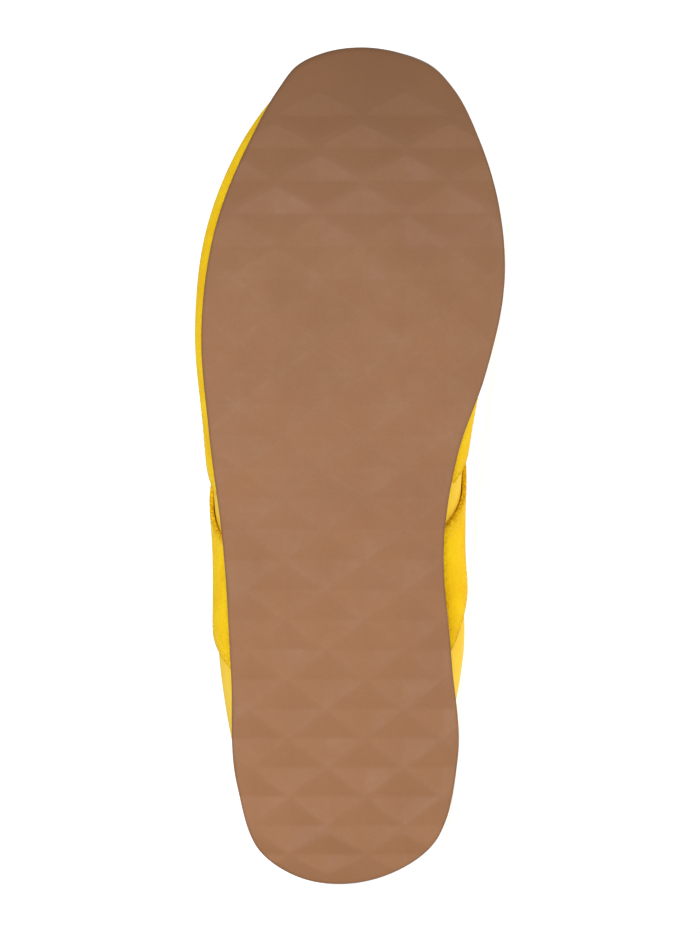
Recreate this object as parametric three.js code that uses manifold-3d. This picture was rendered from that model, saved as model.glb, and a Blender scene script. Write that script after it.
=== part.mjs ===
// A right-foot low sneaker, about a women's size 7, lying on its inner side as if set down on a table.
// The shoe is modelled upright in its own frame, then laid down at the end of the file:
// +X runs from the heel to the toe, +Y points to the inner (medial) side and +Z is up from the tread.
// All sizes are in millimetres.

import * as THREE from "three";
import { mergeVertices } from "three/addons/utils/BufferGeometryUtils.js";
import { ConvexHull } from "three/addons/math/ConvexHull.js";
import Module from "manifold-3d";

// Driving dimensions
const LENGTH = 262; // sole, heel to toe
const BALL_WIDTH = 94.4; // sole, at its widest
const INSTEP_HEIGHT = 86; // top eyelets above the ground
const HEEL_STACK = 25; // sole thickness under the heel
const BALL_STACK = 16; // sole thickness under the ball of the foot
const TOE_SPRING = 14; // rise of the tread at the toe tip
const SEAT_SPRING = 8; // rise of the sole's upper face at the toe tip
const WALL = 2; // upper
const OVERLAY = 1.4; // suede pieces stitched on the upper
const GAP = 0.3; // between pieces that touch

// Sole
const SPRING_START = 0.72 * LENGTH;
const SPRING_POWER = 2.5;
const HEEL_BEVEL = { length: 12, rise: 2 };
const WEDGE = { from: 0.24 * LENGTH, to: 0.62 * LENGTH };
const EDGE_CHAMFER = 0.8;
const SIDE_TAPER = 1;

// Tread: sunk pyramids on a diamond lattice, with flat lands between them
const PIT_DEPTH = 1.5;
const LAND_WIDTH = 1.2;
const PITCH = { heel: 18, ball: 20.8 };
const PIT_WIDTH_SHARE = 1.32; // diamond's width over its length
const PIT_COLUMNS = 5; // to either side of the lattice's axis
const FIRST_PIT_ROW = 9.3;
const LAST_PIT_ROW = 0.925 * LENGTH;
const LATTICE_AXIS = { heel: 5, toe: 3.5 };

// Upper
const FEATHER_INSET = 2.5; // where the upper meets the sole, in from the sole's edge
const BELLY_SHARE = 0.24; // share of the wall below its widest line
const FEATHER_RISE = 0.35;
const SHOULDER = { flat: 0.17, steep: 0.17 }; // fullness of the wall above its widest line
const CHEEK = 0.42; // fullness of the wall below the topline
const COLLAR_PAD = { from: 0.62, to: 0.96 }; // shares of the wall over which the collar thickens
const THROAT_ARCH = 0.36; // rounding of the form across the lacing opening
const OVERLAY_FOOT = 0.02; // lower and upper ends of the stitched-on pieces, as shares of the wall
const OVERLAY_HEAD = 1.03;
const BLOCK_SPARE = 3;

// Insole
const INSOLE_THICK = 4;
const INSOLE_INSET = 5.6;

// Tongue and laces
const TONGUE = {
  thick: 4,
  overlap: 9, // under each edge of the opening
  clear: 1.2, // below the upper
  crown: 0.1, // above the form across the opening
  crownFrom: 0.3,
  crownTo: 0.86,
  firstAlong: 0.668,
  topAlong: 0.425,
  topReach: 1.25,
  blend: 16, // length over which its ends change form
  freeLength: 21,
  tipWidth: 0.8,
  tipRound: 0.22,
};
const LACE = {
  width: 6.5,
  thick: 1.5,
  pairs: 6,
  inset: 8, // eyelets below the edge of the opening
  dipAcross: 0.8,
  dipEnd: 0.48,
  behindBar: 0.62,
};
const LACE_FIRST = 0.635 * LENGTH;
const LACE_LAST = 0.432 * LENGTH;

// Facet counts
const AROUND = 70;
const TURN_WEIGHT = 0.45;
const BELOW_BELLY = 3;
const ABOVE_BELLY = 7;
const ROW_POWER = 1.25;

// Outline of the sole seen from above, heel back first and then round by the outer side.
// along is a share of LENGTH, across a share of BALL_WIDTH, positive on the inner side.
const OUTLINE = [
  { place: "heel_back", along: 0.0, across: -0.029 },
  { place: "heel_edge_outer", along: 0.006, across: -0.152 },
  { place: "heel_bend_outer", along: 0.037, across: -0.292 },
  { place: "heel_outer", along: 0.118, across: -0.374 },
  { place: "ankle_outer", along: 0.25, across: -0.394 },
  { place: "waist_outer", along: 0.4, across: -0.42 },
  { place: "instep_outer", along: 0.54, across: -0.468 },
  { place: "ball_outer", along: 0.66, across: -0.492 },
  { place: "fore_outer", along: 0.785, across: -0.443 },
  { place: "toe_side_outer", along: 0.89, across: -0.327 },
  { place: "toe_bend_outer", along: 0.949, across: -0.238 },
  { place: "toe_corner_outer", along: 0.977, across: -0.179 },
  { place: "toe_edge_outer", along: 0.994, across: -0.083 },
  { place: "toe_tip", along: 1.0, across: 0.024 },
  { place: "toe_edge_inner", along: 0.994, across: 0.157 },
  { place: "toe_corner_inner", along: 0.975, across: 0.277 },
  { place: "toe_bend_inner", along: 0.949, across: 0.341 },
  { place: "toe_side_inner", along: 0.885, across: 0.428 },
  { place: "fore_inner", along: 0.81, across: 0.489 },
  { place: "ball_inner", along: 0.72, across: 0.509 },
  { place: "instep_inner", along: 0.61, across: 0.449 },
  { place: "arch_front_inner", along: 0.515, across: 0.357 },
  { place: "waist_inner", along: 0.41, across: 0.309 },
  { place: "ankle_inner", along: 0.27, across: 0.333 },
  { place: "heel_inner", along: 0.15, across: 0.354 },
  { place: "heel_bend_inner", along: 0.045, across: 0.266 },
  { place: "heel_edge_inner", along: 0.006, across: 0.08 },
];

// Sections of the upper's wall, each rising from one place of the outline to the topline.
// out: how far the widest line stands out from the sole's edge; belly: its height over the sole.
// along, across and high: the topline, as shares of LENGTH, BALL_WIDTH and INSTEP_HEIGHT.
// lid: slope of the wall at the topline, in degrees; pad: extra wall thickness in the collar.
const SECTIONS = [
  { at: "heel_back", out: -1, belly: 21, along: 0.021, across: -0.016, high: 0.945, lid: 80, pad: 2.4 },
  { at: "heel_bend_outer", out: -1.2, belly: 21, along: 0.05, across: -0.18, high: 0.895, lid: 82, pad: 2.8 },
  { at: "heel_outer", out: -0.4, belly: 21, along: 0.125, across: -0.295, high: 0.805, lid: 82, pad: 3.4 },
  { at: "ankle_outer", out: 4.5, belly: 20, along: 0.25, across: -0.342, high: 0.75, lid: 80, pad: 3.4 },
  { at: "waist_outer", out: 2.9, belly: 19, along: 0.405, across: -0.21, high: 0.995, lid: 56, pad: 0.4 },
  { at: "instep_outer", out: 0.9, belly: 15, along: 0.535, across: -0.145, high: 0.885, lid: 40, pad: 0 },
  { at: "ball_outer", out: 1.2, belly: 13, along: 0.625, across: -0.112, high: 0.768, lid: 29, pad: 0 },
  { at: "fore_outer", out: 2.0, belly: 12, along: 0.662, across: -0.085, high: 0.726, lid: 24, pad: 0 },
  { at: "toe_side_outer", out: 1.4, belly: 11, along: 0.675, across: -0.045, high: 0.71, lid: 20, pad: 0 },
  { at: "toe_corner_outer", out: -2.2, belly: 10, along: 0.68, across: -0.008, high: 0.704, lid: 17, pad: 0 },
  { at: "toe_tip", out: -2, belly: 10, along: 0.682, across: 0.021, high: 0.702, lid: 16, pad: 0 },
  { at: "toe_corner_inner", out: -1.4, belly: 10, along: 0.68, across: 0.05, high: 0.704, lid: 17, pad: 0 },
  { at: "toe_side_inner", out: -1.4, belly: 11, along: 0.674, across: 0.09, high: 0.71, lid: 20, pad: 0 },
  { at: "fore_inner", out: -2, belly: 12, along: 0.66, across: 0.126, high: 0.728, lid: 25, pad: 0 },
  { at: "ball_inner", out: -2.4, belly: 13, along: 0.628, across: 0.146, high: 0.768, lid: 30, pad: 0 },
  { at: "instep_inner", out: -2.2, belly: 15, along: 0.556, across: 0.162, high: 0.865, lid: 38, pad: 0 },
  { at: "arch_front_inner", out: 2.4, belly: 18, along: 0.475, across: 0.182, high: 0.95, lid: 46, pad: 0 },
  { at: "waist_inner", out: 5.9, belly: 20, along: 0.4, across: 0.214, high: 1.005, lid: 57, pad: 0.4 },
  { at: "ankle_inner", out: 4.9, belly: 22, along: 0.262, across: 0.312, high: 0.785, lid: 80, pad: 3.4 },
  { at: "heel_inner", out: -3, belly: 22, along: 0.14, across: 0.282, high: 0.81, lid: 82, pad: 3.4 },
  { at: "heel_bend_inner", out: -1.2, belly: 21, along: 0.05, across: 0.15, high: 0.895, lid: 82, pad: 2.8 },
];

// Upper edge of the toe rand, as a share of the wall, from its outer end round the toe to its inner end.
const RAND = [
  { along: 0.462, side: "outer", up: 0.05 },
  { along: 0.5, side: "outer", up: 0.2 },
  { along: 0.6, side: "outer", up: 0.33 },
  { along: 0.75, side: "outer", up: 0.42 },
  { along: 0.9, side: "outer", up: 0.47 },
  { along: 1.0, side: "outer", up: 0.5 },
  { along: 0.9, side: "inner", up: 0.47 },
  { along: 0.75, side: "inner", up: 0.42 },
  { along: 0.62, side: "inner", up: 0.33 },
  { along: 0.52, side: "inner", up: 0.2 },
  { along: 0.478, side: "inner", up: 0.05 },
];

// Rear and front edges of the saddle piece on each side: places along the sole's edge, at shares of the wall.
const SADDLE = {
  outer: [
    { up: 0.03, rear: 0.25, front: 0.405 },
    { up: 0.24, rear: 0.282, front: 0.452 },
    { up: 0.55, rear: 0.335, front: 0.54 },
    { up: 0.8, rear: 0.385, front: 0.65 },
    { up: 1.0, rear: 0.4, front: 0.79 },
  ],
  inner: [
    { up: 0.03, rear: 0.273, front: 0.424 },
    { up: 0.24, rear: 0.325, front: 0.478 },
    { up: 0.55, rear: 0.36, front: 0.555 },
    { up: 0.8, rear: 0.392, front: 0.66 },
    { up: 1.0, rear: 0.402, front: 0.81 },
  ],
};

// Plain finishes
const COLOURS = {
  gum: { color: 0xa3765a, roughness: 0.62 },
  shell: { color: 0xf7d24a, roughness: 0.7 },
  suede: { color: 0xf2bd0c, roughness: 0.95 },
  lining: { color: 0xf3d869, roughness: 0.9 },
  lace: { color: 0xf5cf3a, roughness: 0.85 },
};

// Grams per cubic centimetre, for the balance point only
const DENSITY = { gum: 1.1, shell: 0.8, suede: 0.8, lining: 0.3, lace: 0.8 };

const wasm = await Module();
wasm.setup();

// Smooth steps and curves

const lerp = THREE.MathUtils.lerp;
const smoothstep = THREE.MathUtils.smoothstep;
const radians = THREE.MathUtils.degToRad;

// Cubic through the values at the knots; a closed one goes round once as t goes from 0 to 1.
function curveValue(knots, values, t, closed) {
  const n = knots.length;
  const place = closed ? t - Math.floor(t) : THREE.MathUtils.clamp(t, knots[0], knots[n - 1]);
  const turn = (j) => (closed ? Math.floor(j / n) : 0);
  const index = (j) => (closed ? ((j % n) + n) % n : THREE.MathUtils.clamp(j, 0, n - 1));
  const knot = (j) => knots[index(j)] + turn(j);
  const value = (j) => values[index(j)];
  const slope = (j) => {
    const before = knot(j) - knot(j - 1);
    const after = knot(j + 1) - knot(j);
    const backward = before ? (value(j) - value(j - 1)) / before : (value(j + 1) - value(j)) / after;
    const forward = after ? (value(j + 1) - value(j)) / after : backward;
    return (backward * after + forward * before) / (before + after);
  };
  const last = closed ? n - 1 : n - 2;
  const i = Math.min(last, Math.max(0, knots.findLastIndex((k) => k <= place)));
  const h = knot(i + 1) - knot(i);
  const s = (place - knot(i)) / h;
  const start = (1 + 2 * s) * (1 - s) ** 2 * value(i) + s * (1 - s) ** 2 * h * slope(i);
  const end = s * s * (3 - 2 * s) * value(i + 1) + s * s * (s - 1) * h * slope(i + 1);
  return start + end;
}

// Heights of the sole, from the distance along it

const toeRise = (x) => Math.max(0, (x - SPRING_START) / (LENGTH - SPRING_START)) ** SPRING_POWER;

function treadHeight(x) {
  const bevel = Math.max(0, 1 - x / HEEL_BEVEL.length) ** 2 * HEEL_BEVEL.rise;
  return TOE_SPRING * toeRise(x) + bevel;
}

function seatHeight(x) {
  return lerp(HEEL_STACK, BALL_STACK, smoothstep(x, WEDGE.from, WEDGE.to)) + SEAT_SPRING * toeRise(x);
}

// Plan outline, as a loop over t from 0 at the heel back to 1

const OUTLINE_POINTS = OUTLINE.map((row) => new THREE.Vector2(row.along * LENGTH, row.across * BALL_WIDTH));
const OUTLINE_KNOTS = OUTLINE_POINTS.reduce((sums, point, i) => {
  const before = OUTLINE_POINTS[i - 1];
  return [...sums, i ? sums[i - 1] + point.distanceTo(before) : 0];
}, []);
const PERIMETER = OUTLINE_KNOTS.at(-1) + OUTLINE_POINTS.at(-1).distanceTo(OUTLINE_POINTS[0]);
OUTLINE_KNOTS.forEach((sum, i) => (OUTLINE_KNOTS[i] = sum / PERIMETER));

const placeOf = (name) => OUTLINE_KNOTS[OUTLINE.findIndex((row) => row.place === name)];
const TOE_AT = placeOf("toe_tip");

function outlinePoint(t) {
  const axis = (name) => OUTLINE_POINTS.map((point) => point[name]);
  return new THREE.Vector2(
    curveValue(OUTLINE_KNOTS, axis("x"), t, true),
    curveValue(OUTLINE_KNOTS, axis("y"), t, true),
  );
}

function outlineNormal(t) {
  const step = 1e-4;
  const along = outlinePoint(t + step).sub(outlinePoint(t - step)).normalize();
  return new THREE.Vector2(along.y, -along.x);
}

// Places of the columns of facets, closer together where the outline turns faster.
function spreadColumns() {
  const samples = 800;
  const sums = [0];
  for (let i = 0; i < samples; i++) {
    const [here, next] = [outlineNormal(i / samples), outlineNormal((i + 1) / samples)];
    const turn = Math.abs(Math.atan2(here.cross(next), here.dot(next)));
    sums.push(sums[i] + (1 - TURN_WEIGHT) / samples + (TURN_WEIGHT * turn) / (2 * Math.PI));
  }
  return Array.from({ length: AROUND }, (_, c) => {
    const goal = (sums[samples] * c) / AROUND;
    const i = sums.findLastIndex((sum) => sum <= goal);
    return (i + (goal - sums[i]) / (sums[i + 1] - sums[i])) / samples;
  });
}

const COLUMNS = spreadColumns();

// Place t on one side of the outline that lies a given share along the sole.
function sidePlace(side, share) {
  let [low, high] = side === "outer" ? [0, TOE_AT] : [1, TOE_AT];
  for (let i = 0; i < 40; i++) {
    const middle = (low + high) / 2;
    if (outlinePoint(middle).x < share * LENGTH) low = middle;
    else high = middle;
  }
  return (low + high) / 2;
}

// Upper: outer face of the wall

const SECTION_KNOTS = SECTIONS.map((row) => placeOf(row.at));
const section = (t, column) =>
  curveValue(SECTION_KNOTS, SECTIONS.map((row) => row[column]), t, true);

function toplinePoint(t) {
  return new THREE.Vector3(
    section(t, "along") * LENGTH,
    section(t, "across") * BALL_WIDTH,
    section(t, "high") * INSTEP_HEIGHT,
  );
}

// Point on the wall at place t round the shoe and share v of the way up, from the sole's edge to the topline.
function wallPoint(t, v) {
  const edge = outlinePoint(t);
  const normal = outlineNormal(t);
  const out = new THREE.Vector3(normal.x, normal.y, 0);
  const seat = seatHeight(edge.x) + GAP;
  const rim = new THREE.Vector3(edge.x, edge.y, seat).addScaledVector(out, -FEATHER_INSET);
  const belly = new THREE.Vector3(edge.x, edge.y, seat + section(t, "belly"));
  belly.addScaledVector(out, section(t, "out"));
  if (v <= BELLY_SHARE) {
    const bend = belly.clone().setZ(lerp(seat, belly.z, FEATHER_RISE));
    return new THREE.QuadraticBezierCurve3(rim, bend, belly).getPoint(v / BELLY_SHARE);
  }
  const top = toplinePoint(t);
  const reach = belly.distanceTo(top);
  const lid = radians(section(t, "lid"));
  const shoulder = belly.clone();
  shoulder.z += reach * (SHOULDER.flat + SHOULDER.steep * Math.sin(lid));
  const cheek = top.clone().addScaledVector(out, reach * CHEEK * Math.cos(lid));
  cheek.z -= reach * CHEEK * Math.sin(lid);
  const curve = new THREE.CubicBezierCurve3(belly, shoulder, cheek, top);
  return curve.getPoint((v - BELLY_SHARE) / (1 - BELLY_SHARE));
}

function wallNormal(t, v) {
  const step = 2e-3;
  const round = wallPoint(t + step, v).sub(wallPoint(t - step, v));
  const up = wallPoint(t, v + step).sub(wallPoint(t, v - step));
  return round.cross(up).normalize();
}

// A point off the wall by some distance outwards, kept above the sole.
function offWall(t, v, distance) {
  const point = wallPoint(t, v).addScaledVector(wallNormal(t, v), distance);
  point.z = Math.max(point.z, seatHeight(point.x) + GAP);
  return point;
}

const wallThickness = (t, v) =>
  WALL + Math.max(0, section(t, "pad")) * smoothstep(v, COLLAR_PAD.from, COLLAR_PAD.to);

// Throat: the wall's own form carried across the opening, for the tongue and laces.
// across runs from -1 at the outer edge of the opening to 1 at the inner edge, and past them down the wall.

function throatPlace(side, x) {
  let [low, high] = side === "outer" ? [placeOf("waist_outer"), TOE_AT] : [placeOf("waist_inner"), TOE_AT];
  for (let i = 0; i < 40; i++) {
    const middle = (low + high) / 2;
    if (toplinePoint(middle).x < x) low = middle;
    else high = middle;
  }
  return (low + high) / 2;
}

// Share of the wall that lies a distance below the topline.
function wallShareBelow(t, distance) {
  const sample = 0.25;
  return 1 - (sample * distance) / wallPoint(t, 1).distanceTo(wallPoint(t, 1 - sample));
}

function throatPoint(x, across) {
  const edges = { outer: throatPlace("outer", x), inner: throatPlace("inner", x) };
  const excess = Math.abs(across) - 1;
  if (excess > 0) {
    const t = across < 0 ? edges.outer : edges.inner;
    return wallPoint(t, wallShareBelow(t, excess * TONGUE.overlap));
  }
  const start = wallPoint(edges.outer, 1);
  const end = wallPoint(edges.inner, 1);
  const reach = start.distanceTo(end) * THROAT_ARCH;
  const lean = (t) => wallPoint(t, 1).sub(wallPoint(t, 0.97)).setLength(reach);
  const curve = new THREE.CubicBezierCurve3(
    start,
    start.clone().add(lean(edges.outer)),
    end.clone().add(lean(edges.inner)),
    end,
  );
  return curve.getPoint((across + 1) / 2);
}

function throatNormal(x, across) {
  const step = 0.02;
  const forward = throatPoint(x + 1, across).sub(throatPoint(x - 1, across));
  const sideways = throatPoint(x, across + step).sub(throatPoint(x, across - step));
  return forward.cross(sideways).normalize();
}

// Solids

function solid(geometry) {
  geometry.deleteAttribute("normal");
  geometry.deleteAttribute("uv");
  const merged = mergeVertices(geometry, 1e-4);
  return new wasm.Manifold(
    new wasm.Mesh({
      numProp: 3,
      vertProperties: merged.attributes.position.array,
      triVerts: new Uint32Array(merged.index.array),
    }),
  );
}

function geometryOf(made) {
  const mesh = made.getMesh();
  const geometry = new THREE.BufferGeometry();
  geometry.setAttribute("position", new THREE.BufferAttribute(mesh.vertProperties, 3));
  geometry.setIndex(new THREE.BufferAttribute(mesh.triVerts, 1));
  return geometry;
}

function geometryFrom(points, triangles) {
  const geometry = new THREE.BufferGeometry().setFromPoints(points);
  geometry.setIndex(triangles);
  return geometry;
}

// Solid between two faces over a grid of columns and rows; a ring joins its last column to its first.
function slab(columns, rows, outer, inner, ring = false) {
  const points = [];
  const triangles = [];
  const faces = [outer, inner].map((face) => {
    const base = points.length;
    for (let c = 0; c < columns; c++)
      for (let r = 0; r < rows; r++) points.push(face(c, r));
    return (c, r) => base + (c % columns) * rows + r;
  });
  const quad = (a, b, c, d) => triangles.push(a, b, c, a, c, d);
  const [front, back] = faces;
  const spans = ring ? columns : columns - 1;
  for (let c = 0; c < spans; c++) {
    for (let r = 0; r < rows - 1; r++) {
      quad(front(c, r), front(c + 1, r), front(c + 1, r + 1), front(c, r + 1));
      quad(back(c, r), back(c, r + 1), back(c + 1, r + 1), back(c + 1, r));
    }
    quad(front(c + 1, 0), front(c, 0), back(c, 0), back(c + 1, 0));
    quad(front(c, rows - 1), front(c + 1, rows - 1), back(c + 1, rows - 1), back(c, rows - 1));
  }
  for (let r = 0; r < rows - 1 && !ring; r++) {
    const c = columns - 1;
    quad(front(0, r), front(0, r + 1), back(0, r + 1), back(0, r));
    quad(front(c, r + 1), front(c, r), back(c, r), back(c, r + 1));
  }
  return geometryFrom(points, triangles);
}

// Solid with the sole's plan: rings of points from the bottom up, closed below and above by strips across.
function planSolid(rings) {
  const columns = rings[0].length;
  const points = rings.flat();
  const triangles = [];
  for (let k = 0; k < rings.length - 1; k++)
    for (let c = 0; c < columns; c++) {
      const next = (c + 1) % columns;
      const [a, b] = [k * columns + c, k * columns + next];
      triangles.push(a, b, b + columns, a, b + columns, a + columns);
    }
  const closing = (base, facesUp) => {
    let outer = 0;
    let inner = columns;
    while (inner - outer > 1) {
      const stepOuter = points[base + outer + 1].x <= points[base + inner - 1].x;
      const third = stepOuter ? outer + 1 : inner - 1;
      const corners = [outer, third, inner].map((c) => base + (c % columns));
      triangles.push(...(facesUp ? corners : corners.reverse()));
      if (stepOuter) outer++;
      else inner--;
    }
  };
  closing(0, false);
  closing((rings.length - 1) * columns, true);
  return geometryFrom(points, triangles);
}

// One ring of the sole's plan, moved in from its edge, at a height worked out from the distance along.
function planRing(inset, height) {
  return COLUMNS.map((t) => {
    const point = outlinePoint(t).addScaledVector(outlineNormal(t), -inset);
    return new THREE.Vector3(point.x, point.y, height(point.x));
  });
}

// Outsole with its sunk diamonds

function pitCutter(x, y, pitch) {
  const inset = 1 - LAND_WIDTH / pitch;
  const spare = 1 + 1 / PIT_DEPTH;
  const cone = new THREE.ConeGeometry(1, PIT_DEPTH + 1, 4, 1);
  cone.rotateX(Math.PI / 2);
  cone.scale((pitch / 2) * inset * spare, (pitch / 2) * PIT_WIDTH_SHARE * inset * spare, 1);
  cone.translate(0, 0, (PIT_DEPTH + 1) / 2 - 1);
  cone.rotateY(-Math.atan2(treadHeight(x + 1) - treadHeight(x - 1), 2));
  cone.translate(x, y, treadHeight(x));
  return solid(cone);
}

function treadPits() {
  const pits = [];
  let x = FIRST_PIT_ROW;
  for (let row = 0; x < LAST_PIT_ROW; row++) {
    const share = x / LENGTH;
    const pitch = lerp(PITCH.heel, PITCH.ball, smoothstep(share, 0, 1));
    const column = (pitch / 2) * PIT_WIDTH_SHARE;
    const middle = lerp(LATTICE_AXIS.heel, LATTICE_AXIS.toe, share);
    for (let k = (row % 2) - PIT_COLUMNS; k <= PIT_COLUMNS; k += 2) {
      const y = middle + k * column;
      const reach = [sidePlace("outer", share), sidePlace("inner", share)].map((t) => outlinePoint(t).y);
      if (y > reach[0] - column / 2 && y < reach[1] + column / 2) pits.push(pitCutter(x, y, pitch));
    }
    x += pitch / 2;
  }
  return pits;
}

function outsole() {
  const body = planSolid([
    planRing(EDGE_CHAMFER, treadHeight),
    planRing(0, (x) => treadHeight(x) + EDGE_CHAMFER),
    planRing(SIDE_TAPER, seatHeight),
  ]);
  return geometryOf(treadPits().reduce((sole, pit) => sole.subtract(pit), solid(body)));
}

// Upper, insole and stitched-on pieces

// Closed layer all round the shoe between two depths below the wall's outer face.
function wallLayer(outerDepth, innerDepth) {
  const share = (r) =>
    r <= BELOW_BELLY
      ? (BELLY_SHARE * r) / BELOW_BELLY
      : lerp(BELLY_SHARE, 1, ((r - BELOW_BELLY) / ABOVE_BELLY) ** ROW_POWER);
  const face = (depth) => (c, r) => offWall(COLUMNS[c], share(r), -depth(COLUMNS[c], share(r)));
  return slab(AROUND, BELOW_BELLY + ABOVE_BELLY + 1, face(outerDepth), face(innerDepth), true);
}

const upper = () => wallLayer(() => 0, wallThickness);

function insole() {
  const base = (x) => seatHeight(x) + GAP;
  const top = (x) => seatHeight(x) + GAP + INSOLE_THICK;
  return planSolid([planRing(INSOLE_INSET, base), planRing(INSOLE_INSET, top)]);
}

// Suede pieces: a layer standing off the whole wall, cut to each piece's outline

const OVERLAY_LAYER = solid(wallLayer(() => -GAP - OVERLAY, () => -GAP));

// A block straddling the layer, from well inside it to well outside.
function overlayPiece(columns, rows, place, share) {
  const at = (c, r, distance) => {
    const [t, v] = [place(c, r), share(c, r)];
    return wallPoint(t, v).addScaledVector(wallNormal(t, v), distance);
  };
  const block = slab(
    columns,
    rows,
    (c, r) => at(c, r, GAP + OVERLAY + BLOCK_SPARE),
    (c, r) => at(c, r, GAP - BLOCK_SPARE),
  );
  return geometryOf(OVERLAY_LAYER.intersect(solid(block)));
}

function toeRand() {
  const columns = 40;
  const rows = 4;
  const places = RAND.map((row) => sidePlace(row.side, row.along));
  const heights = RAND.map((row) => row.up);
  const place = (c) => lerp(places[0], places.at(-1), c / (columns - 1));
  const share = (c, r) => lerp(OVERLAY_FOOT, curveValue(places, heights, place(c), false), r / (rows - 1));
  return overlayPiece(columns, rows, place, share);
}

function saddle(side) {
  const columns = 13;
  const rows = 11;
  const table = SADDLE[side];
  const ups = table.map((row) => row.up);
  const edge = (name) => table.map((row) => sidePlace(side, row[name]));
  const [rear, front] = [edge("rear"), edge("front")];
  const up = (c, r) => lerp(OVERLAY_FOOT, OVERLAY_HEAD, r / (rows - 1));
  const place = (c, r) => {
    const ends = [rear, front].map((places) => curveValue(ups, places, up(c, r), false));
    const order = side === "outer" ? ends : ends.reverse();
    return lerp(order[0], order[1], c / (columns - 1));
  };
  return overlayPiece(columns, rows, place, up);
}

// Tongue: under the edges of the opening, crowned between them, and free above the top eyelets

function tongue() {
  const rows = 13;
  const throatColumns = 10;
  const freeColumns = 3;
  const first = TONGUE.firstAlong * LENGTH;
  const top = TONGUE.topAlong * LENGTH;
  const reach = (x) => lerp(TONGUE.topReach, 2, smoothstep(x, top, top + TONGUE.blend));
  const across = (x, r) => reach(x) * lerp(-1, 1, r / (rows - 1));
  const sunk = (x, a) => {
    const flank = smoothstep(Math.abs(a), TONGUE.crownFrom, TONGUE.crownTo);
    const crowned = (1 - flank) * smoothstep(first - x, 0, TONGUE.blend);
    return lerp(-(WALL + TONGUE.clear), TONGUE.crown, crowned);
  };
  const onThroat = (x, r, depth) => {
    const a = across(x, r);
    return throatPoint(x, a).addScaledVector(throatNormal(x, a), sunk(x, a) - depth);
  };
  const underVamp = (r, depth) => {
    const t = lerp(throatPlace("outer", first), throatPlace("inner", first), r / (rows - 1));
    const v = wallShareBelow(t, TONGUE.overlap);
    return wallPoint(t, v).addScaledVector(wallNormal(t, v), -(WALL + TONGUE.clear) - depth);
  };
  const pastTop = (past, r, depth) => {
    const rise = throatPoint(top, 0).sub(throatPoint(top + TONGUE.blend, 0)).normalize();
    const width = lerp(1, TONGUE.tipWidth, past * past);
    const middle = onThroat(top, (rows - 1) / 2, depth);
    const point = onThroat(top, r, depth).sub(middle).multiplyScalar(width).add(middle);
    const corner = 1 - TONGUE.tipRound * past * Math.abs((2 * r) / (rows - 1) - 1) ** 3;
    return point.addScaledVector(rise, TONGUE.freeLength * past * corner);
  };
  const face = (depth) => (c, r) => {
    if (c === 0) return underVamp(r, depth);
    if (c > throatColumns) return pastTop((c - throatColumns) / freeColumns, r, depth);
    return onThroat(lerp(first, top, (c - 1) / (throatColumns - 1)), r, depth);
  };
  return slab(1 + throatColumns + freeColumns, rows, face(TONGUE.thick), face(0));
}

// Laces: one straight bar at the toe end, then crossings up to the top eyelets

const eyeletAlong = (pair) => lerp(LACE_FIRST, LACE_LAST, pair / (LACE.pairs - 1));
const EYELET_ACROSS = 1 + LACE.inset / TONGUE.overlap;

// One run over the throat, from one side's place to the other's; sense is 1 when it starts on the outer side.
// An end inside the opening dips by the lace's own thickness, under the next run.
function laceRun(start, end, sense = 1) {
  const columns = 9;
  const dip = (s) => {
    const first = start.across < 1 ? 1 - smoothstep(s, 0, LACE.dipEnd) : 0;
    const last = end.across < 1 ? smoothstep(s, 1 - LACE.dipEnd, 1) : 0;
    return (first + last) * (LACE.thick + 2 * GAP);
  };
  const height = (s) => GAP + OVERLAY + GAP + LACE.thick / 2 - dip(s);
  const place = (s) => ({ x: lerp(start.x, end.x, s), across: sense * lerp(-start.across, end.across, s) });
  const onThroat = (s) => {
    const { x, across } = place(s);
    return throatPoint(x, across).addScaledVector(throatNormal(x, across), height(s));
  };
  const face = (side) => (c, r) => {
    const s = c / (columns - 1);
    const { x, across } = place(s);
    const normal = throatNormal(x, across);
    const along = onThroat(Math.min(1, s + 0.02)).sub(onThroat(Math.max(0, s - 0.02)));
    const sideways = along.cross(normal).normalize();
    return onThroat(s)
      .addScaledVector(sideways, (r - 0.5) * LACE.width)
      .addScaledVector(normal, (side * LACE.thick) / 2);
  };
  return slab(columns, 2, face(-1), face(1));
}

function laceBar() {
  const eyelet = { x: eyeletAlong(0), across: EYELET_ACROSS };
  return laceRun(eyelet, eyelet);
}

// Two runs that cross: each leaves an eyelet and dips towards the edge of the opening beside the next pair.
// The lowest crossing comes up from under the edges, behind the bar.
function laceCrossing(pair) {
  const start = pair
    ? { x: eyeletAlong(pair), across: EYELET_ACROSS }
    : { x: eyeletAlong(LACE.behindBar), across: LACE.dipAcross };
  const end = { x: eyeletAlong(pair + 1), across: LACE.dipAcross };
  return geometryOf(solid(laceRun(start, end)).add(solid(laceRun(start, end, -1))));
}

// Assembly, upright

const shoe = new THREE.Group();

function addPiece(name, geometry, finish) {
  const material = new THREE.MeshStandardMaterial({ ...COLOURS[finish], metalness: 0 });
  const mesh = new THREE.Mesh(geometry, material);
  mesh.name = name;
  mesh.userData.finish = finish;
  shoe.add(mesh);
}

addPiece("outsole", outsole(), "gum");
addPiece("upper", upper(), "shell");
addPiece("insole", insole(), "lining");
addPiece("toe_rand", toeRand(), "suede");
addPiece("saddle_outer", saddle("outer"), "suede");
addPiece("saddle_inner", saddle("inner"), "suede");
addPiece("tongue", tongue(), "shell");
addPiece("lace_bar", laceBar(), "lace");
for (let pair = 0; pair < LACE.pairs - 1; pair++)
  addPiece(`lace_crossing_${pair + 1}`, laceCrossing(pair), "lace");

// Laid down: on the part of its inner side that a table touches under its centre of mass

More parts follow.
